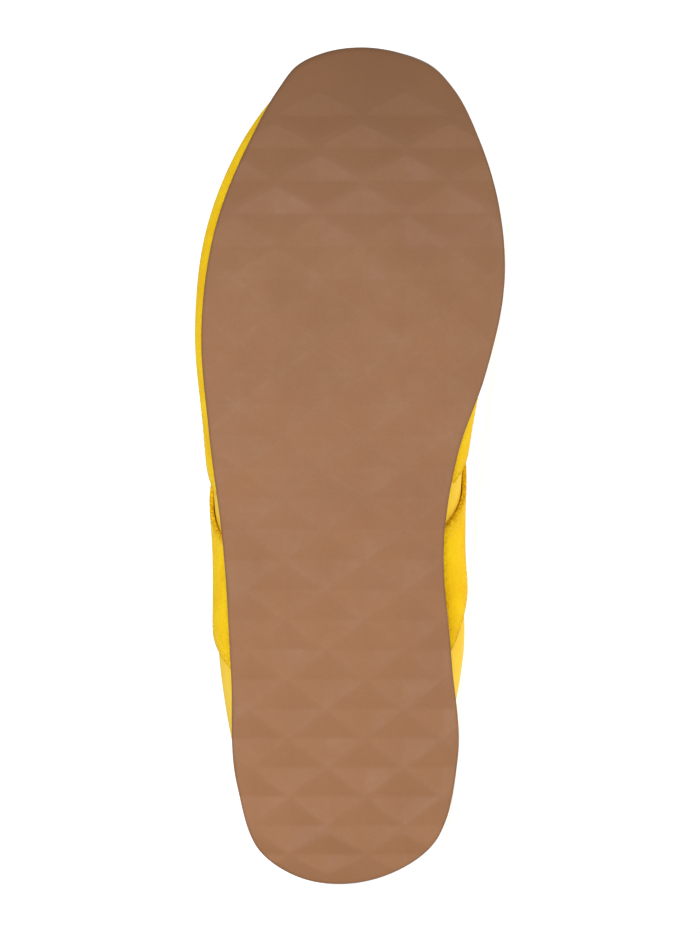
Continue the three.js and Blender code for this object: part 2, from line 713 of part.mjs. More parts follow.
function cornersOf(mesh) {
  const position = mesh.geometry.getAttribute("position");
  const corner = (_, i) => new THREE.Vector3().fromBufferAttribute(position, i);
  return Array.from({ length: position.count }, corner);
}

function centreOfMass(meshes) {
  const sum = new THREE.Vector3();
  let mass = 0;
  for (const mesh of meshes) {
    const corners = cornersOf(mesh);
    const index = mesh.geometry.index.array;
    for (let i = 0; i < index.length; i += 3) {
      const [a, b, c] = [corners[index[i]], corners[index[i + 1]], corners[index[i + 2]]];
      const share = (DENSITY[mesh.userData.finish] * a.dot(b.clone().cross(c))) / 6;
      sum.addScaledVector(a.clone().add(b).add(c), share / 4);
      mass += share;
    }
  }
  return sum.divideScalar(mass);
}

// Outward direction of the table: the face of the wrapped shoe that lies squarely under its centre of mass.
function tableDirection(meshes) {
  const hull = new ConvexHull().setFromPoints(meshes.flatMap(cornersOf));
  const centre = centreOfMass(meshes);
  let down = new THREE.Vector3(0, 1, 0);
  for (let i = 0; i < 4; i++) {
    const reach = (face) => -face.distanceToPoint(centre) / face.normal.dot(down);
    const facing = hull.faces.filter((face) => face.normal.dot(down) > 0.1);
    down = facing.reduce((best, face) => (reach(face) < reach(best) ? face : best)).normal.clone();
  }
  return down;
}

const laid = new THREE.Quaternion().setFromUnitVectors(
  tableDirection(shoe.children),
  new THREE.Vector3(0, 0, -1),
);
const toeward = new THREE.Vector3(1, 0, 0).applyQuaternion(laid);
const level = new THREE.Quaternion().setFromAxisAngle(
  new THREE.Vector3(0, 0, 1),
  -Math.atan2(toeward.y, toeward.x),
);
shoe.quaternion.multiplyQuaternions(level, laid);
shoe.updateMatrixWorld(true);
const box = new THREE.Box3().setFromObject(shoe, true);
shoe.position.set(-(box.min.x + box.max.x) / 2, -(box.min.y + box.max.y) / 2, -box.min.z);

const part = new THREE.Group();
part.add(shoe);

export default part;
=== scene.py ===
import logging
import math
from dataclasses import dataclass, field
from enum import Enum
from typing import Callable, Sequence

import bpy
import numpy as np
from mathutils import Matrix, Vector


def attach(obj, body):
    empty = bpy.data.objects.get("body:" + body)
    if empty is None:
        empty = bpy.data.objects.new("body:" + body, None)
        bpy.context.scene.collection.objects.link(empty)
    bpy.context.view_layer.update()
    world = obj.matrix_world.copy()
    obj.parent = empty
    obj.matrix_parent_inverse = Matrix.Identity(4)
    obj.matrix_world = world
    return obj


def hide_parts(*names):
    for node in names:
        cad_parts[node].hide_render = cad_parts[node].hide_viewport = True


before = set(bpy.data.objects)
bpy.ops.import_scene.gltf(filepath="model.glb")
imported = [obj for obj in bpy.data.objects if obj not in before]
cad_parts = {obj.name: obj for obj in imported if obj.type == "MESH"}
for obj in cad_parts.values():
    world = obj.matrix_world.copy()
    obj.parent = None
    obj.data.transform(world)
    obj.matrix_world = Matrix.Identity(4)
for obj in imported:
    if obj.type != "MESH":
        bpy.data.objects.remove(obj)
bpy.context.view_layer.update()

LOG = logging.getLogger("sneaker")
MM = 0.001
Array = np.ndarray
Socket = bpy.types.NodeSocket
Quads = list[tuple[int, ...]]
Point = tuple[float, float, float]
Colour = tuple[float, float, float]


class Side(Enum):
    """The two sides of a right shoe."""

    OUTER = "outer"
    INNER = "inner"


class Slot(Enum):
    """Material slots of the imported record."""

    GUM = "gum"
    SHELL = "shell"
    SUEDE = "suede"
    LINING = "lining"
    LACE = "lace"


# Smooth curves and small sums


class SmoothCurve:
    """A cubic through values at knots, open or closed over one turn."""

    def __init__(self, knots: Sequence[float], values: Sequence, closed: bool) -> None:
        """Keeps the knots and works out a slope at each.

        Args:
            knots: rising places, the first one 0 when closed.
            values: one number or one row of numbers for each knot.
            closed: whether the curve goes round as its place goes from 0 to 1.
        """
        self.closed = closed
        places = np.asarray(knots, float)
        heights = np.asarray(values, float).reshape(len(places), -1)
        if closed:
            places = np.concatenate([places[-1:] - 1, places, places[:2] + 1])
            heights = np.concatenate([heights[-1:], heights, heights[:2]])
        steps = np.diff(places)[:, None]
        grades = np.diff(heights, axis=0) / steps
        inner = (grades[:-1] * steps[1:] + grades[1:] * steps[:-1]) / (steps[:-1] + steps[1:])
        self.places, self.heights = places, heights
        self.slopes = np.concatenate([grades[:1], inner, grades[-1:]])

    def __call__(self, place: Array | float) -> Array:
        """Value at a place, or at each of an array of places.

        Args:
            place: where on the curve.

        Returns:
            The value there, with one more axis when the values are rows.
        """
        asked = np.asarray(place, float)
        at = asked % 1.0 if self.closed else np.clip(asked, self.places[0], self.places[-1])
        i = np.clip(np.searchsorted(self.places, at, side="right") - 1, 0, len(self.places) - 2)
        h = self.places[i + 1] - self.places[i]
        s = ((at - self.places[i]) / h)[..., None]
        h = h[..., None]
        start = (1 + 2 * s) * (1 - s) ** 2 * self.heights[i] + s * (1 - s) ** 2 * h * self.slopes[i]
        end = s * s * (3 - 2 * s) * self.heights[i + 1] + s * s * (s - 1) * h * self.slopes[i + 1]
        value = start + end
        return value[..., 0] if value.shape[-1] == 1 else value


def smoothstep(x: Array | float, low: float, high: float) -> Array:
    """Rises smoothly from 0 at low to 1 at high.

    Args:
        x: the value looked at.
        low: where the rise starts.
        high: where it ends.

    Returns:
        A number from 0 to 1 for each value.
    """
    s = np.clip((np.asarray(x, float) - low) / (high - low), 0, 1)
    return s * s * (3 - 2 * s)


def blend(a: Array | float, b: Array | float, share: Array | float) -> Array:
    """Straight mix of two values, a at share 0 and b at share 1."""
    return np.asarray(a) + (np.asarray(b) - np.asarray(a)) * share


def unit(vectors: Array) -> Array:
    """Vectors scaled to length one along their last axis."""
    return vectors / np.maximum(np.linalg.norm(vectors, axis=-1, keepdims=True), 1e-12)


def bezier(points: Sequence[Array], s: Array) -> Array:
    """Point on a Bezier curve, by repeated mixing.

    Args:
        points: its control points, each an array of the same shape.
        s: share of the way along.

    Returns:
        The points at s.
    """
    level = list(points)
    share = np.asarray(s)[..., None]
    while len(level) > 1:
        level = [a + (b - a) * share for a, b in zip(level, level[1:])]
    return level[0]


# The shoe's form, upright and in millimetres: +X heel to toe, +Y inner side, +Z up from the tread


@dataclass(frozen=True)
class Place:
    """A named place on the sole's outline, in shares of the length and of the ball width."""

    name: str
    along: float
    across: float


@dataclass(frozen=True)
class Section:
    """A section of the upper's wall, from a place on the outline to the topline."""

    at: str
    out: float
    belly: float
    along: float
    across: float
    high: float
    lid: float
    pad: float


OUTLINE = (
    Place("heel_back", 0.0, -0.029),
    Place("heel_edge_outer", 0.006, -0.152),
    Place("heel_bend_outer", 0.037, -0.292),
    Place("heel_outer", 0.118, -0.374),
    Place("ankle_outer", 0.25, -0.394),
    Place("waist_outer", 0.4, -0.42),
    Place("instep_outer", 0.54, -0.468),
    Place("ball_outer", 0.66, -0.492),
    Place("fore_outer", 0.785, -0.443),
    Place("toe_side_outer", 0.89, -0.327),
    Place("toe_bend_outer", 0.949, -0.238),
    Place("toe_corner_outer", 0.977, -0.179),
    Place("toe_edge_outer", 0.994, -0.083),
    Place("toe_tip", 1.0, 0.024),
    Place("toe_edge_inner", 0.994, 0.157),
    Place("toe_corner_inner", 0.975, 0.277),
    Place("toe_bend_inner", 0.949, 0.341),
    Place("toe_side_inner", 0.885, 0.428),
    Place("fore_inner", 0.81, 0.489),
    Place("ball_inner", 0.72, 0.509),
    Place("instep_inner", 0.61, 0.449),
    Place("arch_front_inner", 0.515, 0.357),
    Place("waist_inner", 0.41, 0.309),
    Place("ankle_inner", 0.27, 0.333),
    Place("heel_inner", 0.15, 0.354),
    Place("heel_bend_inner", 0.045, 0.266),
    Place("heel_edge_inner", 0.006, 0.08),
)

SECTIONS = (
    Section("heel_back", -1, 21, 0.021, -0.016, 0.945, 80, 2.4),
    Section("heel_bend_outer", -1.2, 21, 0.05, -0.18, 0.895, 82, 2.8),
    Section("heel_outer", -0.4, 21, 0.125, -0.295, 0.805, 82, 3.4),
    Section("ankle_outer", 4.5, 20, 0.25, -0.342, 0.75, 80, 3.4),
    Section("waist_outer", 2.9, 19, 0.405, -0.21, 0.995, 56, 0.4),
    Section("instep_outer", 0.9, 15, 0.535, -0.145, 0.885, 40, 0),
    Section("ball_outer", 1.2, 13, 0.625, -0.112, 0.768, 29, 0),
    Section("fore_outer", 2.0, 12, 0.662, -0.085, 0.726, 24, 0),
    Section("toe_side_outer", 1.4, 11, 0.675, -0.045, 0.71, 20, 0),
    Section("toe_corner_outer", -2.2, 10, 0.68, -0.008, 0.704, 17, 0),
    Section("toe_tip", -2, 10, 0.682, 0.021, 0.702, 16, 0),
    Section("toe_corner_inner", -1.4, 10, 0.68, 0.05, 0.704, 17, 0),
    Section("toe_side_inner", -1.4, 11, 0.674, 0.09, 0.71, 20, 0),
    Section("fore_inner", -2, 12, 0.66, 0.126, 0.728, 25, 0),
    Section("ball_inner", -2.4, 13, 0.628, 0.146, 0.768, 30, 0),
    Section("instep_inner", -2.2, 15, 0.556, 0.162, 0.865, 38, 0),
    Section("arch_front_inner", 2.4, 18, 0.475, 0.182, 0.95, 46, 0),
    Section("waist_inner", 5.9, 20, 0.4, 0.214, 1.005, 57, 0.4),
    Section("ankle_inner", 4.9, 22, 0.262, 0.312, 0.785, 80, 3.4),
    Section("heel_inner", -3, 22, 0.14, 0.282, 0.81, 82, 3.4),
    Section("heel_bend_inner", -1.2, 21, 0.05, 0.15, 0.895, 82, 2.8),
)


@dataclass
class Form:
    """The shoe's whole form: sole outline and heights, the upper's wall, and the lacing opening."""

    length: float = 262.0
    ball_width: float = 94.4
    instep_height: float = 86.0
    heel_stack: float = 25.0
    ball_stack: float = 16.0
    toe_spring: float = 14.0
    seat_spring: float = 8.0
    wall: float = 2.0
    overlay: float = 1.4
    gap: float = 0.3
    spring_from: float = 0.72
    spring_power: float = 2.5
    heel_bevel_length: float = 12.0
    heel_bevel_rise: float = 2.0
    wedge_from: float = 0.24
    wedge_to: float = 0.62
    feather_inset: float = 2.5
    feather_rise: float = 0.35
    belly_share: float = 0.24
    shoulder_flat: float = 0.17
    shoulder_steep: float = 0.17
    cheek: float = 0.42
    pad_from: float = 0.62
    pad_to: float = 0.96
    throat_arch: float = 0.36
    throat_overlap: float = 9.0
    lean_sample: float = 0.03
    throat_samples: int = 800
    outline_samples: int = 2000
    halvings: int = 40
    knot_of: dict[str, float] = field(init=False)

    def __post_init__(self) -> None:
        """Works out the loop curves from the tables."""
        points = np.array([(row.along * self.length, row.across * self.ball_width) for row in OUTLINE])
        chords = np.linalg.norm(np.roll(points, -1, axis=0) - points, axis=1)
        knots = np.concatenate([[0], np.cumsum(chords)[:-1]]) / chords.sum()
        self.perimeter = float(chords.sum())
        self.outline = SmoothCurve(knots, points, True)
        self.knot_of = {row.name: float(knot) for row, knot in zip(OUTLINE, knots)}
        self.toe_at = self.knot_of["toe_tip"]
        places = [self.knot_of[row.at] for row in SECTIONS]
        columns = [(r.out, r.belly, r.along, r.across, r.high, r.lid, r.pad) for r in SECTIONS]
        self.section = SmoothCurve(places, columns, True)

    def outline_normal(self, t: Array) -> Array:
        """Outward direction of the outline, in plan, at each place t."""
        step = 1e-4
        along = unit(self.outline(np.asarray(t) + step) - self.outline(np.asarray(t) - step))
        return np.stack([along[..., 1], -along[..., 0]], axis=-1)

    def toe_rise(self, x: Array) -> Array:
        """Share of the toe's rise at each distance along the sole."""
        start = self.spring_from * self.length
        return np.maximum(0, (np.asarray(x) - start) / (self.length - start)) ** self.spring_power

    def tread(self, x: Array) -> Array:
        """Height of the tread's flat lands at each distance along the sole."""
        bevel = np.maximum(0, 1 - np.asarray(x) / self.heel_bevel_length) ** 2 * self.heel_bevel_rise
        return self.toe_spring * self.toe_rise(x) + bevel

    def seat(self, x: Array) -> Array:
        """Height of the sole's upper face at each distance along it."""
        wedge = smoothstep(x, self.wedge_from * self.length, self.wedge_to * self.length)
        return blend(self.heel_stack, self.ball_stack, wedge) + self.seat_spring * self.toe_rise(x)

    def topline(self, t: Array) -> Array:
        """Topline of the upper at each place t."""
        row = self.section(t)
        return row[..., 2:5] * (self.length, self.ball_width, self.instep_height)

    def wall_at(self, t: Array | float, v: Array | float) -> Array:
        """Points on the outer face of the upper's wall.

        Args:
            t: places round the shoe, 0 at the heel back.
            v: shares of the way up, 0 at the sole and 1 at the topline.

        Returns:
            Points in millimetres, upright.
        """
        t, v = np.broadcast_arrays(np.asarray(t, float), np.asarray(v, float))
        edge, out, row = self.outline(t), self.outline_normal(t), self.section(t)
        flat = np.concatenate([out, np.zeros(out.shape[:-1] + (1,))], axis=-1)
        seat = self.seat(edge[..., 0]) + self.gap
        foot = np.concatenate([edge, seat[..., None]], axis=-1)
        up = np.array([0.0, 0.0, 1.0])
        rim = foot - self.feather_inset * flat
        belly = foot + row[..., 0:1] * flat + row[..., 1:2] * up
        bend = belly.copy()
        bend[..., 2] = blend(seat, belly[..., 2], self.feather_rise)
        top = self.topline(t)
        reach = np.linalg.norm(top - belly, axis=-1, keepdims=True)
        lid = np.radians(row[..., 5:6])
        shoulder = belly + reach * (self.shoulder_flat + self.shoulder_steep * np.sin(lid)) * up
        cheek = top + reach * self.cheek * (np.cos(lid) * flat - np.sin(lid) * up)
        lower = bezier((rim, bend, belly), v / self.belly_share)
        upper = bezier((belly, shoulder, cheek, top), (v - self.belly_share) / (1 - self.belly_share))
        return np.where((v <= self.belly_share)[..., None], lower, upper)

    def wall_normal(self, t: Array | float, v: Array | float) -> Array:
        """Outward normals of the wall's outer face."""
        t, v = np.broadcast_arrays(np.asarray(t, float), np.asarray(v, float))
        step = 2e-3
        turn = self.wall_at(t + step, v) - self.wall_at(t - step, v)
        rise = self.wall_at(t, v + step) - self.wall_at(t, v - step)
        return unit(np.cross(turn, rise))

    def off_wall(self, t: Array | float, v: Array | float, distance: Array | float) -> Array:
        """Points off the wall by a distance outwards, kept above the sole.

        Args:
            t: places round the shoe.
            v: shares of the way up the wall.
            distance: how far out, negative inwards.

        Returns:
            Points in millimetres, upright.
        """
        away = np.asarray(distance, float)[..., None] * self.wall_normal(t, v)
        points = self.wall_at(t, v) + away
        points[..., 2] = np.maximum(points[..., 2], self.seat(points[..., 0]) + self.gap)
        return points

    def thickness(self, t: Array, v: Array) -> Array:
        """Thickness of the upper's wall, with its padded collar."""
        pad = np.maximum(0, self.section(t)[..., 6])
        return self.wall + pad * smoothstep(v, self.pad_from, self.pad_to)

    def find(self, value: Callable[[float], float], low: float, high: float, goal: float) -> float:
        """Place between low and high where a rising value reaches its goal, by halving.

        Args:
            value: what rises from low to high.
            low: place where it is below the goal.
            high: place where it is above it.
            goal: the value looked for.

        Returns:
            The place.
        """
        for _ in range(self.halvings):
            middle = (low + high) / 2
            low, high = (middle, high) if value(middle) < goal else (low, middle)
        return (low + high) / 2

    def side_place(self, side: Side, share: float) -> float:
        """Place on one side of the outline that lies a share of the length from the heel."""
        start = 0.0 if side is Side.OUTER else 1.0
        return self.find(lambda t: float(self.outline(t)[0]), start, self.toe_at, share * self.length)

    def throat_place(self, side: Side, x: Array | float) -> Array:
        """Places whose topline, beside the lacing opening, lies at distance x from the heel."""
        start = self.knot_of["waist_outer" if side is Side.OUTER else "waist_inner"]
        places = np.linspace(start, self.toe_at, self.throat_samples)
        return np.interp(x, self.topline(places)[:, 0], places)

    def share_below(self, t: Array, distance: Array | float) -> Array:
        """Share of the wall that lies a distance below the topline."""
        sample = 0.25
        drop = np.linalg.norm(self.wall_at(t, 1.0) - self.wall_at(t, 1.0 - sample), axis=-1)
        return 1 - sample * np.asarray(distance) / drop

    def throat(self, x: Array | float, across: Array | float) -> Array:
        """Points of the wall's form carried across the lacing opening.

        Args:
            x: distances from the heel.
            across: -1 at the opening's outer edge, 1 at its inner edge, and past them down the wall.

        Returns:
            The points, upright, in millimetres.
        """
        x, across = np.broadcast_arrays(np.asarray(x, float), np.asarray(across, float))
        sides = [self.throat_place(side, x) for side in Side]
        start, end = (self.wall_at(t, 1.0) for t in sides)
        reach = np.linalg.norm(end - start, axis=-1, keepdims=True) * self.throat_arch
        leans = [unit(self.wall_at(t, 1.0) - self.wall_at(t, 1.0 - self.lean_sample)) * reach for t in sides]
        over = bezier((start, start + leans[0], end + leans[1], end), (across + 1) / 2)
        excess = np.abs(across) - 1
        near = np.where(across < 0, sides[0], sides[1])
        down = self.wall_at(near, self.share_below(near, np.maximum(excess, 0) * self.throat_overlap))
        return np.where((excess > 0)[..., None], down, over)

    def throat_normal(self, x: Array | float, across: Array | float) -> Array:
        """Outward normals of the form across the lacing opening."""
        x, across = np.broadcast_arrays(np.asarray(x, float), np.asarray(across, float))
        step = 0.02
        forward = self.throat(x + 1, across) - self.throat(x - 1, across)
        sideways = self.throat(x, across + step) - self.throat(x, across - step)
        return unit(np.cross(forward, sideways))

    def columns(self, count: int, turn_weight: float = 0.45) -> Array:
        """Places round the outline, closer together where it turns faster.

        Args:
            count: how many.
            turn_weight: share of the spacing that follows the turning.

        Returns:
            Rising places from 0.
        """
        fine = np.linspace(0, 1, self.outline_samples + 1)
        normal = self.outline_normal(fine)
        turn = np.abs(np.arctan2(np.cross(normal[:-1], normal[1:]), (normal[:-1] * normal[1:]).sum(-1)))
        weight = (1 - turn_weight) / self.outline_samples + turn_weight * turn / (2 * math.pi)
        sums = np.concatenate([[0], np.cumsum(weight)])
        return np.interp(np.arange(count) / count * sums[-1], sums, fine)


@dataclass(frozen=True)
class Lying:
    """How the upright form lies on the table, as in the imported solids."""

    pitch_deg: float = 5.6117
    roll_deg: float = 0.1309
    at: Point = (-130.3796, -51.0338, 29.428)

    def axes(self) -> Array:
        """Rows are the form's X, Y and Z directions on the table."""
        p, r = math.radians(self.pitch_deg), math.radians(self.roll_deg)
        along = np.array([math.cos(p), 0, math.sin(p)])
        inner = np.array([math.sin(p), 0, -math.cos(p)])
        up = np.array([0.0, 1.0, 0.0])
        across = inner * math.cos(r) - up * math.sin(r)
        upward = up * math.cos(r) + inner * math.sin(r)
        return np.stack([along, across, upward])

    def to_row(self, points: Array) -> Array:
        """Upright millimetres to metres on the table.

        Args:
            points: upright points, in millimetres.

        Returns:
            The same points as they lie, in metres.
        """
        return (np.asarray(points) @ self.axes() + np.array(self.at)) * MM

    def to_form(self, points: Array) -> Array:
        """Metres on the table back to upright millimetres."""
        return (np.asarray(points) / MM - np.array(self.at)) @ self.axes().T

    def turn(self) -> Matrix:
        """The rotation alone, from upright to lying."""
        return Matrix(self.axes().T.tolist())


FORM = Form()
LYING = Lying()


# Mesh making


@dataclass
class Patch:
    """Points and faces of one mesh, upright and in millimetres, with a material number for each face."""

    points: list[Array] = field(default_factory=list)
    faces: Quads = field(default_factory=list)
    numbers: list[int] = field(default_factory=list)
    marks: list[Array] = field(default_factory=list)
    count: int = 0

    def add_points(self, points: Array, marks: Array | None = None) -> int:
        """Adds points and returns the index of the first.

        Args:
            points: any array whose last axis is x, y, z.
            marks: surface coordinates in millimetres, two for each point.

        Returns:
            Index of the first new point.
        """
        flat = np.asarray(points, float).reshape(-1, 3)
        start = self.count
        self.points.append(flat)
        self.marks.append(np.zeros((len(flat), 2)) if marks is None else np.asarray(marks).reshape(-1, 2))
        self.count += len(flat)
        return start

    def add_faces(self, faces: Quads, number: int = 0) -> None:
        """Adds faces that share one material number."""
        self.faces.extend(faces)
        self.numbers.extend([number] * len(faces))

    def add_grid(self, grid: Array, ring: bool = False, flip: bool = False,
                 number: int = 0) -> Callable[[int, int], int]:
        """Adds a grid of points and its faces.

        Args:
            grid: points by column and row.
            ring: whether the last column joins the first.
            flip: whether the faces point the other way.
            number: material number.

        Returns:
            A function from column and row to the point's index.
        """
        columns, rows = grid.shape[:2]
        lengths = np.linalg.norm(np.diff(grid[:, rows // 2], axis=0), axis=-1)
        along = np.concatenate([[0], np.cumsum(lengths)])[:, None] + np.zeros((1, rows))
        rises = np.linalg.norm(np.diff(grid, axis=1), axis=-1)
        up = np.concatenate([np.zeros((columns, 1)), np.cumsum(rises, axis=1)], axis=1)
        base = self.add_points(grid, np.stack([along, up], axis=-1))

        def index(c: int, r: int) -> int:
            """Index of the point at a column and row."""
            return base + (c % columns) * rows + r

        faces = []
        for c in range(columns if ring else columns - 1):
            for r in range(rows - 1):
                face = (index(c, r), index(c + 1, r), index(c + 1, r + 1), index(c, r + 1))
                faces.append(face[::-1] if flip else face)
        self.add_faces(faces, number)
        return index

    def add_slab(self, outer: Array, inner: Array, ring: bool = False,
                 numbers: tuple[int, int] = (0, 0)) -> None:
        """Adds a closed sheet between two grids of the same size.

        Args:
            outer: the face that points along column cross row.
            inner: the face behind it.
            ring: whether it goes round.
            numbers: material numbers of the outer face with its edges, and of the inner face.
        """
        front = self.add_grid(outer, ring, False, numbers[0])
        back = self.add_grid(inner, ring, True, numbers[1])
        columns, rows = outer.shape[:2]
        last = rows - 1
        edges = []
        for c in range(columns if ring else columns - 1):
            edges.append((front(c + 1, 0), front(c, 0), back(c, 0), back(c + 1, 0)))
            edges.append((front(c, last), front(c + 1, last), back(c + 1, last), back(c, last)))
        for r in range(0 if ring else rows - 1):
            end = columns - 1
            edges.append((front(0, r), front(0, r + 1), back(0, r + 1), back(0, r)))
            edges.append((front(end, r + 1), front(end, r), back(end, r), back(end, r + 1)))
        self.add_faces(edges, numbers[0])

    def make(self, name: str, materials: Sequence[bpy.types.Material],
             sharp_deg: float = 40.0) -> bpy.types.Object:
        """Makes the object, lying on the table, at the origin.

        Args:
            name: name of the piece.
            materials: its materials, by number.
            sharp_deg: edges that bend more than this stay crisp.

        Returns:
            The new object.
        """
        mesh = bpy.data.meshes.new(name)
        points = LYING.to_row(np.concatenate(self.points))
        mesh.from_pydata(points.tolist(), [], self.faces)
        for material in materials:
            mesh.materials.append(material)
        mesh.polygons.foreach_set("material_index", np.array(self.numbers, dtype=np.int32))
        marks = np.concatenate(self.marks) * MM
        corners = np.empty(len(mesh.loops), dtype=np.int32)
        mesh.loops.foreach_get("vertex_index", corners)
        mesh.uv_layers.new(name="surface").data.foreach_set("uv", marks[corners].astype(np.float32).ravel())
        mesh.update()
        mesh.validate()
        piece = add_object(name, mesh)
        shade_smooth(piece, sharp_deg)
        return piece


def add_object(name: str, data: bpy.types.ID) -> bpy.types.Object:
    """Adds an object with its data to the scene, at the origin."""
    made = bpy.data.objects.new(name, data)
    bpy.context.scene.collection.objects.link(made)
    return made


def add_marks(name: str, points: Sequence, **vectors: Sequence) -> bpy.types.Object:
    """Adds an object of loose points for a tree to use.

    Args:
        name: name of the object.
        points: upright points, in millimetres.
        vectors: named vectors, one row for each point.

    Returns:
        The new object, lying on the table.
    """
    mesh = bpy.data.meshes.new(name)
    mesh.from_pydata(LYING.to_row(np.array(points)).tolist(), [], [])
    for key, rows in vectors.items():
        attribute = mesh.attributes.new(key, "FLOAT_VECTOR", "POINT")
        attribute.data.foreach_set("vector", np.array(rows).ravel())
    return add_object(name, mesh)


def from_border(grid: Array) -> Array:
    """Distance of each point of a grid from the grid's nearest border, along its columns and rows."""
    nearest = np.full(grid.shape[:2], np.inf)
    for axis in (0, 1):
        steps = np.linalg.norm(np.diff(grid, axis=axis), axis=-1)
        sums = np.cumsum(steps, axis=axis)
        start = np.concatenate([np.zeros_like(sums.take([0], axis)), sums], axis=axis)
        nearest = np.minimum(nearest, np.minimum(start, start.take([-1], axis) - start))
    return nearest


def shade_smooth(piece: bpy.types.Object, sharp_deg: float) -> None:
    """Smooth shading, with crisp edges where the surface bends more than an angle."""
    piece.data.polygons.foreach_set("use_smooth", np.ones(len(piece.data.polygons), dtype=bool))
    piece.data.set_sharp_from_angle(angle=math.radians(sharp_deg))


def settle(piece: bpy.types.Object) -> None:
    """Turns a piece's modifiers into a plain mesh and removes them."""
    graph = bpy.context.evaluated_depsgraph_get()
    made = bpy.data.meshes.new_from_object(piece.evaluated_get(graph))
    old = piece.data
    piece.modifiers.clear()
    piece.data = made
    made.name = piece.name
    bpy.data.meshes.remove(old)


def round_edges(piece: bpy.types.Object, width: float, segments: int = 3, angle_deg: float = 50.0) -> None:
    """Rounds a piece's crisp edges.

    Args:
        piece: the object.
        width: width of the rounding, in millimetres.
        segments: facets across it.
        angle_deg: edges that bend more than this are rounded.
    """
    bevel = piece.modifiers.new("rounding", "BEVEL")
    bevel.width = width * MM
    bevel.segments = segments
    bevel.limit_method = "ANGLE"
    bevel.angle_limit = math.radians(angle_deg)
    settle(piece)
    shade_smooth(piece, angle_deg)


def place_piece(piece: bpy.types.Object, slot: Slot, *nodes: str) -> bpy.types.Object:
    """Puts a piece on the shoe's body and hides the solids that it replaces.

    Args:
        piece: the finished object.
        slot: the record's material slot; not used.
        nodes: CAD nodes that it replaces.

    Returns:
        The same object.
    """
    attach(piece, "root")
    if nodes:
        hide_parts(*nodes)
    LOG.info("%s: %d faces", piece.name, len(piece.data.polygons))
    return piece


# Finishes


class Shade:
    """A material's nodes, with short calls to add and join them."""

    def __init__(self, name: str) -> None:
        """Starts a material whose shader is ready to be set.

        Args:
            name: the material's name.
        """
        self.material = bpy.data.materials.new(name)
        self.material.use_nodes = True
        self.tree = self.material.node_tree
        self.shader = self.tree.nodes["Principled BSDF"]
        self.coordinates = self.tree.nodes.new("ShaderNodeTexCoord")
        self.object_space: Socket = self.coordinates.outputs["Object"]
        self.surface_space: Socket = self.coordinates.outputs["UV"]

    def node(self, kind: str, inputs: dict | None = None, **settings: object) -> bpy.types.Node:
        """Adds a node, sets its properties and joins or sets its inputs.

        Args:
            kind: Blender's node type.
            inputs: by input name or number, a socket to join or a value to set.
            settings: properties of the node.

        Returns:
            The node.
        """
        made = self.tree.nodes.new(kind)
        for key, value in settings.items():
            setattr(made, key, value)
        for key, value in (inputs or {}).items():
            self.put(made.inputs[key], value)
        return made

    def put(self, socket: Socket, value: object) -> None:
        """Joins another socket to this one, or sets its value."""
        if isinstance(value, bpy.types.NodeSocket):
            self.tree.links.new(value, socket)
        else:
            socket.default_value = value

    def set(self, **values: object) -> None:
        """Sets the shader's inputs, with underscores for spaces."""
        for key, value in values.items():
            self.put(self.shader.inputs[key.replace("_", " ")], value)

    def noise(self, per_metre: float, detail: float = 3.0, roughness: float = 0.55,
              distortion: float = 0.0) -> Socket:
        """Cloudy noise from 0 to 1."""
        inputs = {"Vector": self.object_space, "Scale": per_metre, "Detail": detail,
                  "Roughness": roughness, "Distortion": distortion}
        return self.node("ShaderNodeTexNoise", inputs).outputs["Fac"]

    def cells(self, per_metre: float) -> Socket:
        """Distance to the nearest of scattered points, for grain."""
        inputs = {"Vector": self.object_space, "Scale": per_metre}
        return self.node("ShaderNodeTexVoronoi", inputs).outputs["Distance"]

    def bands(self, per_metre: float, direction: str) -> Socket:
        """Even bands across one direction of the surface."""
        inputs = {"Vector": self.surface_space, "Scale": per_metre}
        return self.node("ShaderNodeTexWave", inputs, bands_direction=direction).outputs["Fac"]

    def ramp(self, share: Socket, stops: Sequence[tuple[float, Colour]]) -> Socket:
        """Colours along a share from 0 to 1.

        Args:
            share: the share.
            stops: places and linear colours.

        Returns:
            The colour's socket.
        """
        made = self.node("ShaderNodeValToRGB", {"Fac": share})
        elements = made.color_ramp.elements
        while len(elements) < len(stops):
            elements.new(0.5)
        for element, (place, colour) in zip(elements, stops):
            element.position = place
            element.color = (*colour, 1)
        return made.outputs["Color"]

    def span(self, share: Socket, low: float, high: float, start: float = 0.0, end: float = 1.0) -> Socket:
        """Maps start to end onto low to high, held at the ends."""
        inputs = {"Value": share, "From Min": start, "From Max": end, "To Min": low, "To Max": high}
        return self.node("ShaderNodeMapRange", inputs).outputs["Result"]

    def product(self, a: Socket, b: Socket) -> Socket:
        """Two numbers multiplied."""
        return self.node("ShaderNodeMath", {0: a, 1: b}, operation="MULTIPLY").outputs[0]

    def tint(self, colour: Socket, other: Socket | tuple, share: Socket | float, how: str = "MIX") -> Socket:
        """Mixes two colours."""
        second = other if isinstance(other, bpy.types.NodeSocket) else (*other, 1)
        inputs = {"Factor": share, 6: colour, 7: second}
        return self.node("ShaderNodeMix", inputs, data_type="RGBA", blend_type=how).outputs[2]

    def bump(self, height: Socket, depth_mm: float, strength: float = 1.0,
             under: Socket | None = None) -> Socket:
        """A normal from a height that goes from 0 to 1 over a depth."""
        inputs = {"Height": height, "Distance": depth_mm * MM, "Strength": strength}
        if under:
            inputs["Normal"] = under
        return self.node("ShaderNodeBump", inputs).outputs["Normal"]


